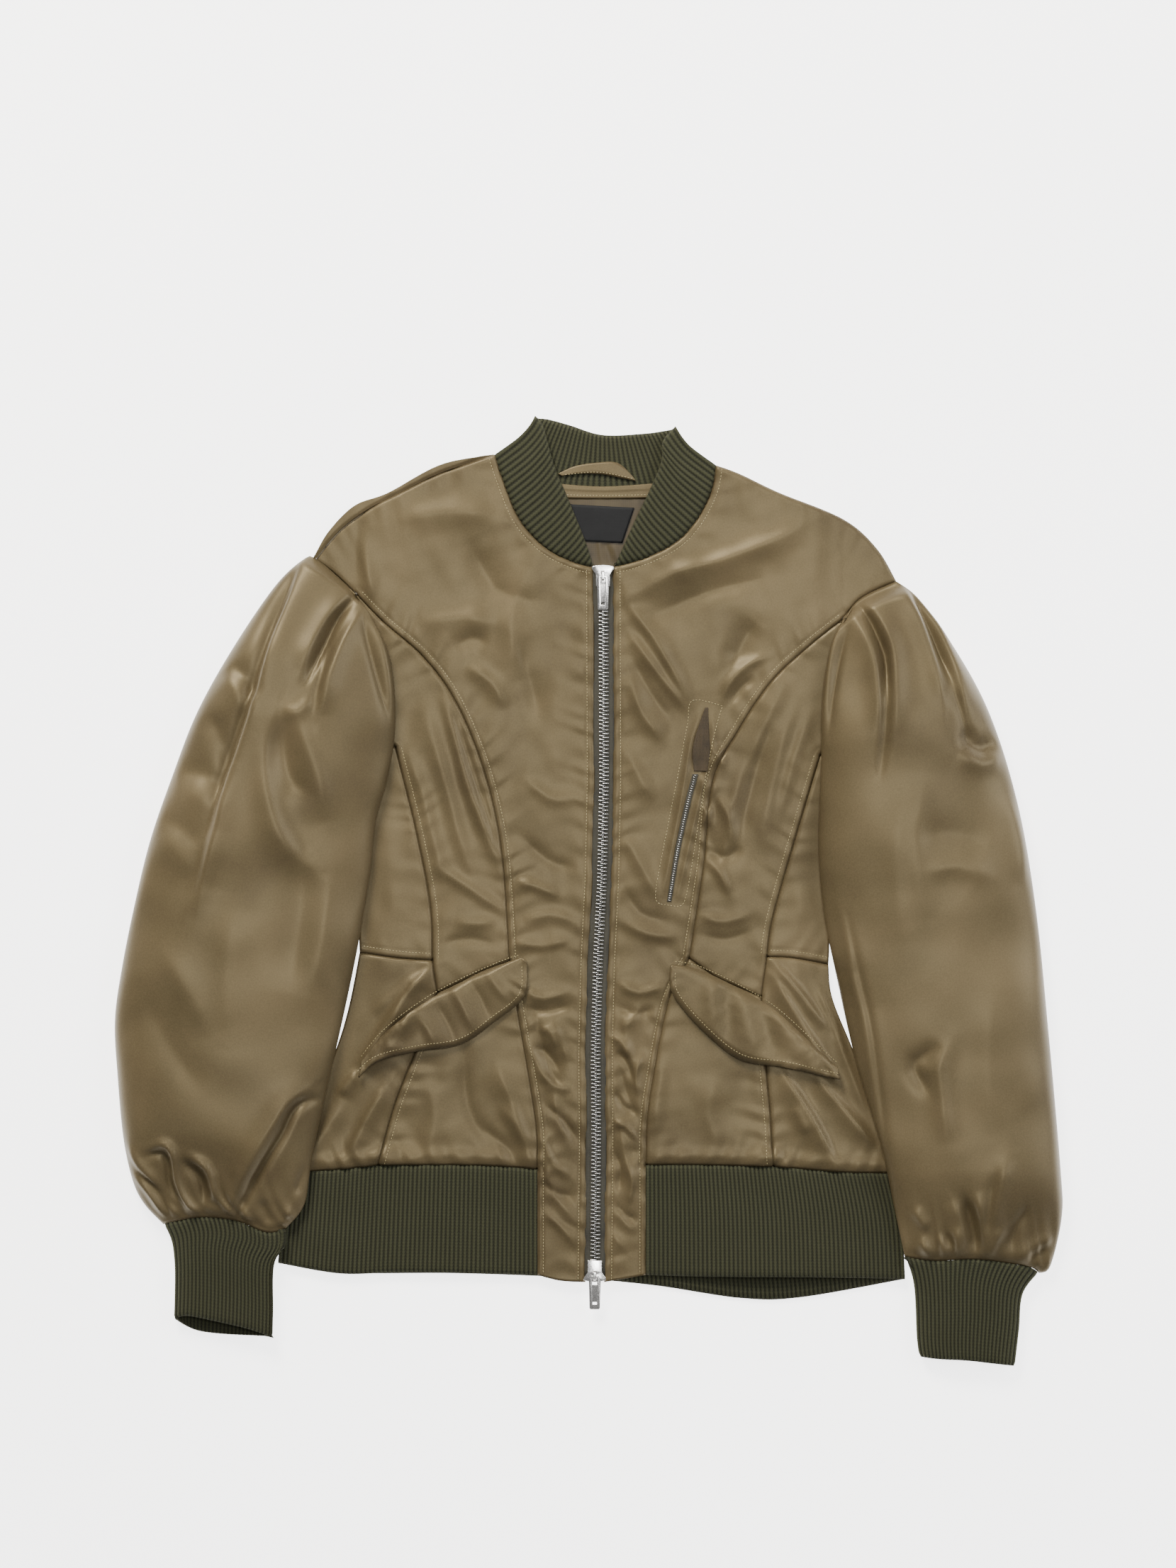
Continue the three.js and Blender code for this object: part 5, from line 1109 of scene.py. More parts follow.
def cosineShares(cells):
    return (1 - np.cos(np.linspace(0, math.pi, cells + 1))) / 2


# Rings down a sleeve: the top layer from left to right, then the under layer back again.
def sleeveRing(side):
    form = sleeveForm
    topShares = cosineShares(form["topCells"])
    shares = np.r_[topShares, cosineShares(form["underCells"])[1:-1][::-1]]
    onTop = np.arange(len(shares)) <= form["topCells"]
    plan, left, right = tubePlan(sleeves[side], own[side]["armhole"], side, shares, form["rows"])
    down = np.linspace(0, 1, form["rows"] + 1)[:, None]
    coverage = form["edgeStart"] + (1 - form["edgeStart"]) * ease(*form["edgeRise"], down[:, 0])
    coverage -= (1 - cuffForm["coverage"]) * ease(*form["cuffFall"], down[:, 0])
    ends = edgeHeights(left, right, side, coverage)
    edge = between(ends, shares)
    peak = form["cap"] + (form["full"] - form["cap"]) * ease(*form["capRise"], down)
    peak = peak - (form["full"] - form["cuff"]) * ease(*form["cuffFall"], down)
    peak = np.maximum(peak, edge + form["overBody"])
    arch = crown(shares, form["crownTop"])
    under = edge - (edge - over(plan, stepUp, side)) * crown(shares, form["crownUnder"])
    ring = liftedTo(plan, np.where(onTop, edge + (peak - edge) * arch, under))
    bend = np.where(onTop, ease(0, form["foldFrom"], arch), 0)
    slack = over(plan, swell, form["slackSize"], form["slack"], 9 + len(side)) * ease(*form["slackAt"], down)
    across = np.linalg.norm(plan - plan[:, :1], axis=2)
    gathers = puckers(across, form["gatherLength"], form["gatherPitch"], 31 + len(side)) * form["gatherRise"]
    folds = over(plan, foldRise, sleeveFolds[side]) + slack + gathers * ease(*form["gatherAt"], down)
    ring += ringNormals(ring) * (folds * bend)[..., None]
    seamedTop = np.minimum(ring[..., 2], over(plan, frontFace, False) - form["underBody"])
    atArmhole = np.where(onTop, 1 - ease(*form["bodyTuck"], down), 0)
    ring[..., 2] = ring[..., 2] * (1 - atArmhole) + seamedTop * atArmhole
    wrist = ends[0][-1] * (1 - shares) + ends[1][-1] * shares
    cuffTop = wrist + (cuffForm["height"] - wrist) * arch - form["underCuff"]
    atCuff = np.where(onTop, ease(*form["cuffTuck"], down) ** 2, 0)
    ring[..., 2] = ring[..., 2] * (1 - atCuff) + cuffTop * atCuff
    ring[..., 2] = np.maximum(ring[..., 2], form["lowest"])
    return ring


def makeSleeve(side):
    piece = tubeOver(sleeveRing(side), sleeveForm["thick"])
    nodes = [f"sleeve_top_{side}", f"sleeve_under_{side}"]
    finishPiece(piece, f"sleeve_shell_{side}", "satin", "shell_satin", nodes)
    print("sleeve made,", side)


# Rib knit. Ribs are rounded ridges, stitches show in the finish.
ribForm = {
    "pitch": 3.3 * mm, "rise": 0.85 * mm, "round": 0.7, "cells": 8, "along": 3 * mm, "stitch": 2.3 * mm,
    "roll": 0.9 * mm, "rollWide": 1.2 * mm, "thick": 2.4 * mm,
}


def ribProfile(phase):
    return np.abs(np.sin(np.pi * phase)) ** ribForm["round"] - 1


def edgeRoll(distance, drop=ribForm["roll"], wide=ribForm["rollWide"]):
    return -drop * hump(distance, wide)


# A flat band of rib between two lines, with the ribs running from one to the other.
def ribBand(top, bottom, leftEnd, rightEnd, height, free=True, ribs=None, cells=ribForm["cells"],
            along=ribForm["along"]):
    ribs = ribs or round(max(lineLength(top), lineLength(bottom)) / ribForm["pitch"])
    deep = max(lineLength(leftEnd), lineLength(rightEnd))
    rows = max(3, round(deep / along))
    grid = patch(leftEnd, rightEnd, top, bottom, rows=rows, columns=ribs * cells)
    phase = np.linspace(0, ribs, grid.shape[1])
    v = np.linspace(0, 1, rows + 1)
    high = height(grid, v) + ribForm["rise"] * ribProfile(phase)[None]
    if free:
        high += edgeRoll((1 - v) * deep)[:, None]
    uv = np.stack(np.broadcast_arrays(phase[None], (v * deep / ribForm["stitch"])[:, None]), 2)
    return liftedTo(grid, high), uv


backHem = [[402, 1660], [1257, 1660]]  # where the back's cloth ends and its rib starts
# The left front's rib gapes between its ends and shows the rib of the back.
hemForm = {
    "frontInside": 3.9 * mm, "over": 0.5 * mm, "thick": 2.6 * mm, "deep": 0.08,
    "liftLeft": 4.5 * mm, "gapeStart": (0.12, 0.45), "gapeEnd": (0.6, 0.95),
    "sag": 0.35 * mm, "sagSize": 80 * mm, "seamDrop": 0.7 * mm, "seamWide": 2 * mm,
    "backTop": 3.3 * mm, "backThick": 2.3 * mm, "backCells": 4, "backAlong": 4.5 * mm,
    "flat": (0.2, 0.085), "backFlat": (0.47, 0.1),
}


def makeFrontHem(side):
    form, lines = hemForm, own[side]
    top = chain(lines["ribTopSide"], lines["ribTopFront"])
    lift = form["liftLeft"] if side == "left" else 0

    def height(grid, v):
        u = np.linspace(0, 1, grid.shape[1])
        u = u if side == "right" else 1 - u
        gape = ease(*form["gapeStart"], u) * (1 - ease(*form["gapeEnd"], u))
        sag = over(grid, swell, form["sagSize"], form["sag"], 12)
        atSeam = -form["seamDrop"] * hump(v * form["deep"], form["seamWide"])
        level = form["frontInside"] + form["thick"] + form["over"]
        return level + sag + lift * gape[None] * v[:, None] + atSeam[:, None]

    band = [top, lines["ribBottom"], lines["ribSide"], lines["princessRib"]]
    if side == "left":
        band = [top[::-1], lines["ribBottom"][::-1], lines["princessRib"], lines["ribSide"]]
    shaped, uv = ribBand(*band, height)
    piece = sheetOver(shaped, form["thick"], uv)
    finishPiece(piece, f"hem_knit_{side}", "rib", "rib_knit", [f"hem_rib_front_{side}"])


def makeBackHem():
    form = hemForm
    top = toPlan(backHem)
    bottom = curve([[392, 1782], [480, 1796], [643, 1797], [800, 1803], [922, 1814], [1044, 1832], [1130, 1831],
                    [1277, 1805]])

    def height(grid, v):
        return np.full(grid.shape[:2], form["backTop"])

    shaped, uv = ribBand(respace(top, 40), bottom, *endsBetween(top, bottom), height,
                         cells=form["backCells"], along=form["backAlong"])
    piece = sheetOver(shaped, form["backThick"], uv)
    finishPiece(piece, "hem_knit_back", "rib", "rib_knit", ["hem_rib_back"])


cuffs = {
    "right": {
        "atLeft": [[230, 1727], [241, 1752], [245, 1786], [245, 1828], [244, 1861]],
        "atRight": [[403, 1733], [402, 1757], [388, 1785], [387, 1849], [386, 1886]],
        "mouth": [[244, 1861], [266, 1856], [317, 1866], [350, 1874], [386, 1886]],
        "underMouth": [[244, 1861], [275, 1877], [317, 1883], [386, 1886]],
    },
    "left": {
        "atLeft": [[1276, 1773], [1288, 1814], [1292, 1888], [1296, 1914]],
        "atRight": [[1466, 1796], [1444, 1826], [1439, 1875], [1433, 1927]],
        "mouth": [[1296, 1914], [1325, 1917], [1366, 1919], [1433, 1927]],
        "underMouth": [[1296, 1914], [1325, 1918], [1366, 1920], [1433, 1927]],
    },
}


def makeCuff(side):
    form, shape = cuffForm, cuffs[side]
    topCells = form["ribs"] * ribForm["cells"]
    topShares = np.linspace(0, 1, topCells + 1)
    underShares = np.linspace(0, 1, form["underCells"] + 1)[1:-1]
    left, right = curve(shape["atLeft"], form["rows"]), curve(shape["atRight"], form["rows"])
    seam = curve(sleeves[side]["cuffSeam"], 80)
    topPlan = patch(left, right, seam, curve(shape["mouth"]), rows=form["rows"], columns=topCells)
    underPlan = patch(left, right, np.stack([seam[0], seam[-1]]), curve(shape["underMouth"]),
                      rows=form["rows"], columns=form["underCells"])[:, 1:-1]
    ends = edgeHeights(topPlan[:, 0], topPlan[:, -1], side, form["coverage"])
    v = np.linspace(0, 1, form["rows"] + 1)[:, None]
    edge, underEdge = between(ends, topShares), between(ends, underShares)
    slack = over(topPlan, swell, form["slackSize"], form["slack"], 17)
    above = edge + (form["height"] + slack - edge) * crown(topShares, sleeveForm["crownTop"])
    low = over(underPlan, stepUp, side) + form["underLift"]
    below = underEdge - (underEdge - low) * crown(underShares, sleeveForm["crownUnder"])
    ring = np.concatenate([liftedTo(topPlan, above), liftedTo(underPlan, below)[:, ::-1]], 1)
    phase = np.r_[topShares, 2 - underShares[::-1]] * form["ribs"]
    rolled = edgeRoll((1 - v) * form["deep"]) + edgeRoll(v * form["deep"], form["wristRoll"])
    rise = ribForm["rise"] * ribProfile(phase)[None] + rolled
    ring += ringNormals(ring) * rise[..., None]
    ring[..., 2] = np.maximum(ring[..., 2], sleeveForm["lowest"])
    uvPhase = np.r_[phase, 2 * form["ribs"]]
    uv = np.stack(np.broadcast_arrays(uvPhase[None], v * form["deep"] / ribForm["stitch"]), 2)
    piece = tubeOver(ring, ribForm["thick"], uv)
    finishPiece(piece, f"cuff_knit_{side}", "rib", "rib_knit", [f"cuff_{side}"])


# Collar: one rib band whose ends lie over its back.
wings = {
    "right": {
        "edge": [[755, 586], [767, 603], [782, 657], [803, 707], [827, 767], [836, 797]],
        "fold": [[698, 641], [730, 618], [747, 600], [755, 586]],
    },
    "left": {
        "edge": [[953, 601], [935, 622], [933, 650], [917, 690], [893, 740], [868, 797]],
        "fold": [[1010, 656], [977, 632], [963, 617], [953, 601]],
    },
}
# Heights of a wing are in mm.
collarForm = {
    "ribs": 26, "backRibs": 36, "reach": 0.975, "columns": 22, "thick": 2.4 * mm, "lean": 0.35,
    "base": 3.0, "atFold": (4.1, 0.5), "away": (4.6, 2.6), "awayFull": 1.15,
    "leaves": (0, 0.25), "sinks": (0.8, 1), "sinkShare": 0.35,
    "seamRoll": (1.0 * mm, 1.6 * mm), "freeRoll": (1.4 * mm, 1.8 * mm),
    "backTop": 3.3 * mm, "backDeep": 0.04,
    "flat": (0.045, 0.1), "backFlat": (0.13, 0.045),
}


# Ribs of a wing run from the neckline to its free edge, so its rows run along it.
def makeWing(side):
    shape, form = wings[side], collarForm
    rows = form["ribs"] * ribForm["cells"]
    neckline = own[side]["neckline"]
    kept = trimmed(neckline, 0, (1 - form["reach"]) * lineLength(neckline))
    seam, edge = respace(kept, rows), curve(shape["edge"], rows)
    fold = curve(shape["fold"], form["columns"])
    tip = np.stack([seam[-1], edge[-1]])
    grid = patch(seam, edge, fold, tip, rows=rows, columns=form["columns"])
    v = np.linspace(0, 1, rows + 1)[:, None]
    u = np.linspace(0, 1, form["columns"] + 1)[None]
    beyond = ease(*form["leaves"], v) * (1 - form["sinkShare"] * ease(*form["sinks"], v))
    atFold = form["atFold"][0] + form["atFold"][1] * u
    away = form["away"][0] + form["away"][1] * np.sin(np.minimum(1, u * form["awayFull"]) * math.pi / 2)
    wide = np.linalg.norm(grid[:, -1] - grid[:, 0], axis=1)[:, None]
    high = (atFold + (away - atFold) * beyond + form["base"]) * mm
    high += edgeRoll(u * wide, *form["seamRoll"]) + edgeRoll((1 - u) * wide, *form["freeRoll"])
    phase = v * form["ribs"] + form["lean"] * u
    high = high + ribForm["rise"] * ribProfile(phase)
    uv = np.stack(np.broadcast_arrays(phase, u * wide / ribForm["stitch"]), 2)
    shaped = liftedTo(grid, high)
    if side == "left":
        shaped, uv = shaped[:, ::-1], uv[:, ::-1]
    piece = sheetOver(shaped, form["thick"], uv)
    finishPiece(piece, f"collar_knit_{side}", "rib", "rib_knit", [f"collar_{side}"])


def makeBackCollar():
    top = curve([[757, 590], [773, 591], [803, 599], [850, 613], [910, 611], [951, 605]])
    neck = curve([[712, 654], [728, 668], [762, 684], [850, 690], [935, 685], [978, 672], [998, 657]])

    def height(grid, v):
        rolled = collarForm["backTop"] + edgeRoll(v * collarForm["backDeep"])
        return np.broadcast_to(rolled[:, None], grid.shape[:2])

    shaped, uv = ribBand(top, neck, *endsBetween(top, neck), height, free=False, ribs=collarForm["backRibs"])
    piece = sheetOver(shaped, collarForm["thick"], uv)
    finishPiece(piece, "collar_knit_back", "rib", "rib_knit", ["collar_back"])


# The back lies flat on the floor. Its folds are pressed up into the jacket.
backForm = {
    "spacing": 6 * mm, "top": 2.2 * mm, "thick": 1.2 * mm, "press": 0.7 * mm,
    "slack": 0.25 * mm, "slackSize": 80 * mm,
    "flat": (0.46, 0.6), "area": 0.2,
}
backFolds = [
    [8, 8, -1.0, (560, 900), (600, 1050), (640, 1200)],
    [8, 8, -1.0, (1120, 910), (1080, 1050), (1030, 1210)],
    [6, 6, -0.8, (620, 1320), (760, 1335), (900, 1325)],
    [6, 6, -0.8, (900, 1300), (1000, 1310), (1100, 1335)],
    [7, 7, -1.0, (600, 1400), (560, 1520), (520, 1640)],
    [7, 7, -1.0, (1060, 1400), (1110, 1520), (1170, 1640)],
    [9, 9, -0.8, (760, 760), (840, 800), (940, 770)],
    [7, 7, -0.8, (800, 1400), (790, 1500), (810, 1640)],
]


def makeBack():
    neck = curve([[698, 641], [720, 668], [760, 688], [850, 694], [935, 689], [980, 676], [1010, 656]])
    shoulder = {
        "right": curve([[698, 641], [622, 655], [547, 695], [500, 713], [463, 750], [444, 790]]),
        "left": own["left"]["shoulder"][::-1],
    }
    hem = toPlan(backHem)
    down = {}
    for side in ("right", "left"):
        whole = chain(shoulder[side], own[side]["armhole"], sideEdge[side])
        down[side] = whole[whole[:, 1] > hem[0, 1]]
    grid = seenFromAbove(patch(down["right"], down["left"], neck, hem, backForm["spacing"]))

    def height(points):
        slack = swell(points, backForm["slackSize"], backForm["slack"], 21)
        pressed = foldRise(points, backFolds) + slack
        return backForm["top"] - np.clip(np.abs(pressed), 0, backForm["press"])

    piece = sheetOver(withHeight(grid, height), backForm["thick"])
    finishPiece(piece, "back_shell", "satin", "shell_satin", ["back"])


# Strip of the back that rolls over the wearer's right shoulder, beside the front's seam.
stripForm = {
    "spacing": 1.5 * mm, "rows": 12, "thick": 1.4 * mm, "low": 5 * mm, "roll": 1.6 * mm, "rollWide": 13 * mm,
    "wave": 0.5 * mm, "wavePitch": 9 * mm, "waveReach": 8 * mm, "ditch": 0.9 * mm, "ditchWide": 1.6 * mm,
    "flat": (0.155, 0.012), "area": 0.0011,
}


def makeShoulderStrip():
    form = stripForm
    outer = curve([[442, 787], [463, 750], [500, 713], [547, 695], [622, 655], [696, 641.5]])
    seam = own["right"]["shoulder"]
    grid = patch(*endsBetween(outer, seam), outer, seam, spacing=form["spacing"], rows=form["rows"])

    def height(points):
        _, gap, along, length = nearLine(points, seam, cloth["allNear"])
        gap = np.abs(gap)
        rounded = form["low"] + form["roll"] * np.sqrt(np.clip(1 - (gap / form["rollWide"]) ** 2, 0, 1))
        wave = puckers(along, length, form["wavePitch"], 8) * form["wave"] * np.exp(-gap / form["waveReach"])
        return rounded + wave - form["ditch"] * hump(gap, form["ditchWide"])

    piece = sheetOver(withHeight(grid, height), form["thick"])
    finishPiece(piece, "shoulder_roll_right", "satin", "shell_satin", ["back_shoulder_right"])


# What shows inside the neck. Each shape lists its left, right, top and bottom lines.
# Top, thick and spacing are in mm.
neckInside = {
    "back_lining": {
        "lines": ([[782, 702], [798, 740], [815, 775], [838, 800]], [[926, 702], [905, 740], [885, 775],
                   [866, 800]],
                  [[782, 702], [850, 703], [926, 702]], [[838, 800], [866, 800]]),
        "top": 3.4, "thick": 0.8, "finish": "lining", "slot": "lining", "spacing": 1.8,
        "folds": [[2, 2, 0.5, (843, 703), (845, 760), (850, 800)], [2, 3, -0.6, (850, 762), (858, 780),
                  (862, 800)],
                  [3, 2, 0.5, (862, 765), (870, 780), (874, 795)], [3, 3, -0.5, (806, 704), (812, 730),
                   (820, 765)],
                  [3, 3, 0.4, (900, 706), (893, 740), (880, 775)]],
        "flat": (0.08, 0.055), "area": 0.0026, "rests": "back_shell",
    },
    "neck_facing": {
        "lines": ([[768, 680], [780, 702]], [[941, 680], [928, 702]], [[768, 680], [850, 686], [941, 680]],
                  [[780, 702], [850, 702.4], [928, 702]]),
        "top": 4.6, "thick": 1.0, "finish": "satin", "slot": "shell_satin", "spacing": 1.2,
        "folds": [[1.2, 1.2, 0.4, (775, 687), (850, 691), (936, 687)]],
        "flat": (0.088, 0.012), "area": 0.0007, "rests": "back_lining_cloth",
    },
    "neck_label": {
        "lines": ([[803, 711], [814, 763]], [[895, 716], [878, 766]], [[803, 711], [895, 716]],
                   [[814, 763], [878, 766]]),
        "top": 4.5, "thick": 0.5, "finish": "label", "slot": "label_black", "spacing": 2.0,
        "folds": [[6, 6, 0.3, (845, 712), (846, 764)]],
        "flat": (0.05, 0.03), "area": 0.0012, "rests": "back_lining_cloth",
    },
    "hanger_loop": {
        "lines": ([[787, 668], [793, 671]], [[893, 672], [897, 678]],
                  [[787, 668], [812, 657], [845, 652], [872, 653], [893, 672]],
                  [[793, 671], [815, 668], [850, 669], [875, 674], [897, 678]]),
        "top": 4.85, "thick": 1.1, "finish": "satin", "slot": "shell_satin", "spacing": 0.8,
        "folds": [[1.5, 1.5, 0.5, (795, 669), (845, 662), (890, 674)]],
        "flat": (0.062, 0.012), "area": 0.00045, "rests": "collar_knit_back",
    },
}


neckStitches = [
    {"run": [[776, 697], [850, 699], [930, 697]], "top": 4.6},
    {"run": [[796, 669.5], [845, 666], [893, 675]], "top": 5.0},
]


def level(points, high):
    return np.full(len(points), high * mm)


def makeNeckInside():
    for node, part in neckInside.items():
        left, right, top, bottom = [curve(table) for table in part["lines"]]
        grid = patch(left, right, top, bottom, part["spacing"] * mm)
        high = part["top"] * mm + over(grid, foldRise, part["folds"])
        piece = sheetOver(liftedTo(grid, high), part["thick"] * mm)
        finishPiece(piece, node + "_cloth", part["finish"], part["slot"], [node])
    runs = [stitchRun(curve(row["run"]), lambda points: level(points, row["top"])) for row in neckStitches]
    makeStitches("neck_topstitch", runs)
    print("neck made")


# Zip: tapes, teeth that interlock along the middle, and the small cord that they are set on.
teethForm = {
    "pitch": 2.86 * mm, "long": 4.5 * mm, "wide": 0.9 * mm, "high": 1.5 * mm, "level": 7.55 * mm,
    "beside": 1.35 * mm, "bevel": 0.35 * mm, "tip": (-0.1, 0.5), "tipNarrow": 0.32, "tipThin": 0.15,
    "startY": 822, "endY": 1785,
}
tapeForm = {
    "rows": 120, "startY": 806, "endY": 1800, "level": 6.4 * mm, "thick": 0.9 * mm,
    "under": 0.8 * mm,  # how far a tape goes in under its front
    "columns": (5.5, 0.15, 9),  # first, last and count, in mm beside the zip's middle
    "cord": 0.8 * mm, "cordAt": 2.6 * mm, "cordWide": 1.2 * mm,
    "flat": (0.012, 0.53), "area": 0.0045,
}


def makeTape(side):
    form = tapeForm
    middle = zipMiddle(np.linspace(form["startY"], form["endY"], form["rows"]))
    offsets = np.r_[frontZip["half"] * view["step"] + form["under"], np.linspace(*form["columns"]) * mm]
    offsets = -offsets if side == "right" else offsets[::-1]
    across = middle[:, None, 0] + offsets[None]
    grid = np.stack([across, np.broadcast_to(middle[:, None, 1], across.shape)], 2)
    cord = form["cord"] * hump(np.abs(offsets) - form["cordAt"], form["cordWide"])
    high = np.broadcast_to(form["level"] + cord, across.shape)
    piece = sheetOver(liftedTo(grid, high), form["thick"])
    finishPiece(piece, f"zip_tape_cloth_{side}", "tape", "zip_tape", [f"zip_tape_{side}"])


# One tooth: a bar with rounded edges and a nub at its inner end.
def toothModel():
    form = teethForm
    bpy.ops.object.select_all(action="DESELECT")
    bpy.ops.mesh.primitive_cube_add(size=1)
    piece = bpy.context.object
    bpy.ops.object.mode_set(mode="EDIT")
    bpy.ops.transform.resize(value=(form["long"], form["wide"], form["high"]), center_override=(0, 0, 0))
    bpy.ops.mesh.bevel(offset=form["bevel"], segments=2, affect="EDGES")
    bpy.ops.object.mode_set(mode="OBJECT")
    for v in piece.data.vertices:
        tip = float(ease(*form["tip"], v.co.x / form["long"]))
        v.co.y *= 1 - form["tipNarrow"] * tip
        v.co.z *= 1 - form["tipThin"] * tip
    return piece


def makeTeeth():
    form = teethForm
    middle = zipMiddle(np.linspace(form["startY"], form["endY"], 900))
    line = respace(middle, round(lineLength(middle) / (form["pitch"] / 2)))
    turn = np.where(np.arange(len(line)) % 2 == 0, 1, -1)[:, None]
    ways = sideways(line) * turn
    places = liftedTo(line - ways * form["beside"], np.full(len(line), form["level"]))
    piece = copiesOf(toothModel(), places, liftedTo(ways, np.zeros(len(line))))
    finishPiece(piece, "zip_teeth", "nickel", "zip_metal")
    selectOnly(piece)
    bpy.ops.object.shade_smooth_by_angle(angle=math.radians(35))
    print("zip teeth made,", len(line))


# Sliders and tabs keep their solids' shape, with their edges softened.
pullForm = {
    "slider": 0.3 * mm, "tab": 0.22 * mm,  # bevels
    "flat": math.radians(2), "sharp": math.radians(30),
}


def softenedCopy(node, name, body, bevel):
    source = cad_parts[node]
    piece = bpy.data.objects.new(name, source.data.copy())
    bpy.context.scene.collection.objects.link(piece)
    selectOnly(piece)
    bpy.ops.object.mode_set(mode="EDIT")
    bpy.ops.mesh.select_all(action="SELECT")
    bpy.ops.mesh.remove_doubles(threshold=cloth["weld"])
    bpy.ops.mesh.dissolve_limited(angle_limit=pullForm["flat"])
    bpy.ops.object.mode_set(mode="OBJECT")
    applyModifier(piece, "BEVEL", width=bevel, segments=3, limit_method="ANGLE",
                  angle_limit=pullForm["sharp"])
    finishPiece(piece, name, "nickel", "zip_metal", [node], body)
    selectOnly(piece)
    bpy.ops.object.shade_smooth_by_angle(angle=pullForm["sharp"])


def makeZipPulls():
    for place in ("top", "bottom"):
        softenedCopy(f"zip_slider_{place}", f"slider_{place}", "jacket", pullForm["slider"])
        softenedCopy(f"pull_tab_{place}", f"tab_{place}", f"pull_tab_{place}", pullForm["tab"])


# Chest pocket on the wearer's left front.
chestPocket = {
    "outline": [[1020, 996], [977, 988], [970, 1020], [957, 1090], [943, 1160], [930, 1227],
                [925, 1257], [927, 1273],
                [943, 1277], [960, 1278], [967, 1267], [975, 1227], [987, 1150], [998, 1083],
                 [1010, 1027], [1019, 997]],
    "facing": ([[995, 998], [983, 1032], [977, 1060], [979, 1088]], [[999, 998], [1000, 1032],
                [1001, 1060], [997, 1088]],
               [[995, 998], [999, 998]], [[979, 1088], [997, 1088]]),
    "zip": ([[977, 1092], [967, 1130], [953, 1197], [941, 1272]], [[985, 1092], [975, 1130],
             [960, 1197], [947, 1272]],
            [[977, 1092], [985, 1092]], [[941, 1272], [947, 1272]]),
    "spacing": 0.8 * mm, "over": 0.9 * mm, "thick": 0.7 * mm,
    "tooth": (1.9 * mm, 0.9 * mm, 0.9 * mm), "toothPitch": 1.7 * mm, "toothOver": 1.2 * mm,
    "toothEnd": 1 * mm,
    "facingFlat": (0.013, 0.048), "facingArea": 0.00045, "zipFlat": (0.01, 0.098), "zipArea": 0.0004,
}


def pocketCloth(kind, finish, slot):
    form = chestPocket
    grid = patch(*[curve(table) for table in form[kind]], form["spacing"])
    piece = sheetOver(liftedTo(grid, over(grid, frontFace) + form["over"]), form["thick"])
    finishPiece(piece, f"pocket_{kind}_cloth", finish, slot, [f"chest_pocket_{kind}"])


def makeChestPocket():
    form = chestPocket
    pocketCloth("facing", "facing", "lining")
    pocketCloth("zip", "tape", "zip_tape")
    left, right = [respace(curve(table), 100) for table in form["zip"][:2]]
    middle = trimmed((left + right) / 2, form["toothEnd"], form["toothEnd"])
    dots = respace(middle, round(lineLength(middle) / form["toothPitch"]))
    places = liftedTo(dots, frontFace(dots) + form["toothOver"])
    teeth = copiesOf(capsule(*form["tooth"]), places, liftedTo(sideways(dots), np.zeros(len(dots))))
    finishPiece(teeth, "pocket_zip_teeth", "nickel", "zip_metal")
    makeStitches("pocket_topstitch", [stitchRun(curve(form["outline"]), frontFace)])
    print("chest pocket made")


# Studio: pale floor, camera straight above, large soft lamps.
studio = {
    "floorColour": "fbfaf8", "floorSize": 8.0, "glow": 3.2,
    "cameraHeight": 5.0, "focus": 8 * mm, "sensor": 36.0,
    "lamps": [
        {"place": (-0.9, 2.4, 1.8), "size": 1.2, "power": 150, "colour": "fffaf2"},
        {"place": (2.4, 0.9, 1.8), "size": 1.8, "power": 60, "colour": "f6f8ff"},
        {"place": (0.3, 0.9, 6.2), "size": 1.8, "power": 150, "colour": "ffffff"},
    ],
    "target": (0, 0.12, 0),
    "sky": 0.24,
}


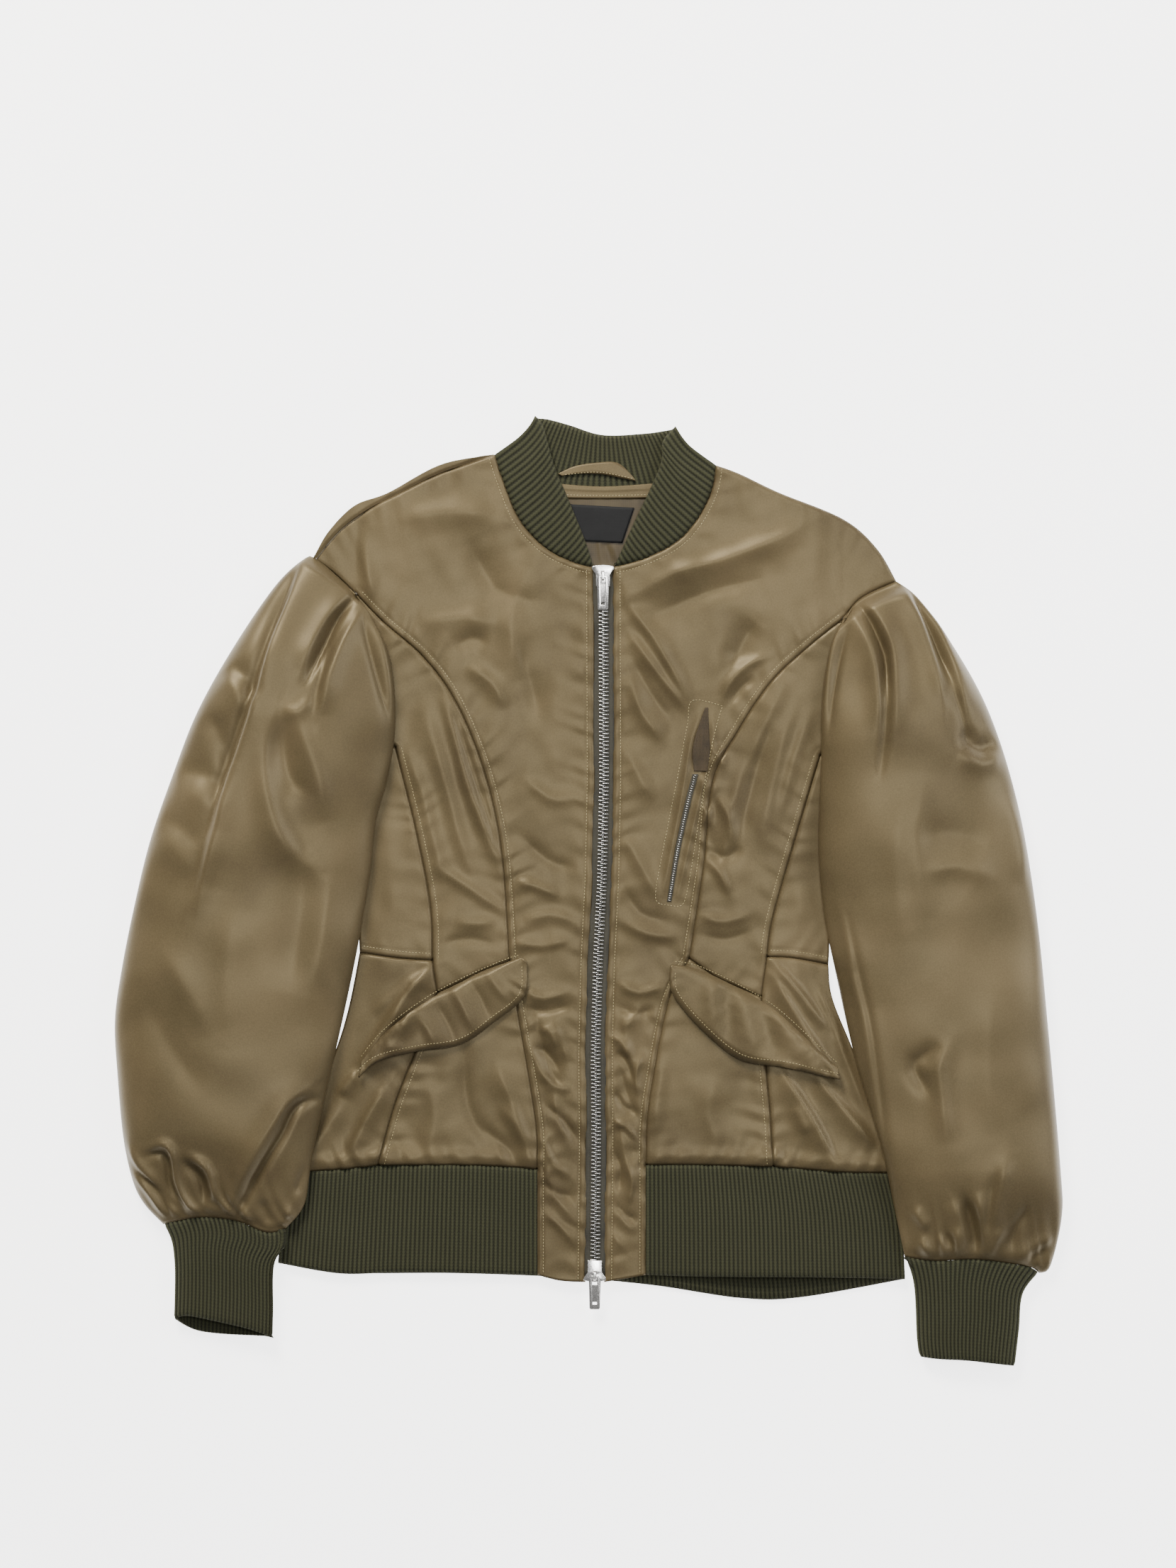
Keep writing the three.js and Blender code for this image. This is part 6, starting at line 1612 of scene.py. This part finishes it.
def makeStudio():
    bpy.ops.object.select_all(action="DESELECT")
    bpy.ops.mesh.primitive_plane_add(size=studio["floorSize"], location=(0, 0, -0.1 * mm))
    floor = bpy.context.object
    floor.name = "floor"
    settings = {"Roughness": 0.9, "Specular IOR Level": 0.1, "Emission Color": (1, 1, 1, 1),
                "Emission Strength": studio["glow"]}
    material, tree, shader, at = startMaterial("paleFloor", settings)
    faint = addNode(tree, "TexNoise", {"Vector": at, "Scale": 3}).outputs["Fac"]
    colour = addNode(tree, "ValToRGB", {"Fac": faint}, [(0.3, "f8f7f4"), (0.7, studio["floorColour"])])
    tree.links.new(colour.outputs["Color"], shader.inputs["Base Color"])
    floor.data.materials.append(material)
    floor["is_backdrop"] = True
    for k, lamp in enumerate(studio["lamps"]):
        light = bpy.data.lights.new(f"softLamp{k}", "AREA")
        light.shape, light.size, light.energy = "DISK", lamp["size"], lamp["power"]
        light.color = hexColour(lamp["colour"])[:3]
        holder = bpy.data.objects.new(f"softLamp{k}", light)
        bpy.context.scene.collection.objects.link(holder)
        holder.location = lamp["place"]
        away = np.array(lamp["place"]) - np.array(studio["target"])
        flat = math.hypot(away[0], away[1])
        holder.rotation_euler = (math.atan2(flat, away[2]), 0, math.atan2(away[0], -away[1]))
    world = bpy.data.worlds.new("studio")
    bpy.context.scene.world = world
    world.use_nodes = True
    world.node_tree.nodes["Background"].inputs["Color"].default_value = (1, 1, 1, 1)
    world.node_tree.nodes["Background"].inputs["Strength"].default_value = studio["sky"]


def makeCamera():
    camera = bpy.data.cameras.new("overhead")
    camera.type, camera.sensor_fit = "PERSP", "VERTICAL"
    camera.sensor_height = studio["sensor"]
    high = view["high"] * view["step"]
    camera.lens = studio["sensor"] * (studio["cameraHeight"] - studio["focus"]) / high
    holder = bpy.data.objects.new("overhead", camera)
    middle = toPlan([[view["wide"] / 2, view["high"] / 2]])[0]
    holder.location = (middle[0], middle[1], studio["cameraHeight"])
    bpy.context.scene.collection.objects.link(holder)
    bpy.context.scene.camera = holder


makeCamera()
makeStudio()
makeBack()
makeShoulderStrip()
for side in ("right", "left"):
    makeFronts(side)
    makeFrontStitches(side)
    makeFlap(side)
    makeFrontHem(side)
    makeSleeve(side)
    makeCuff(side)
    makeWing(side)
    makeTape(side)
makeBackHem()
makeBackCollar()
makeNeckInside()
makeTeeth()
makeZipPulls()
makeChestPocket()
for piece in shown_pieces():
    print(piece.name, sum(len(p.vertices) - 2 for p in piece.data.polygons))
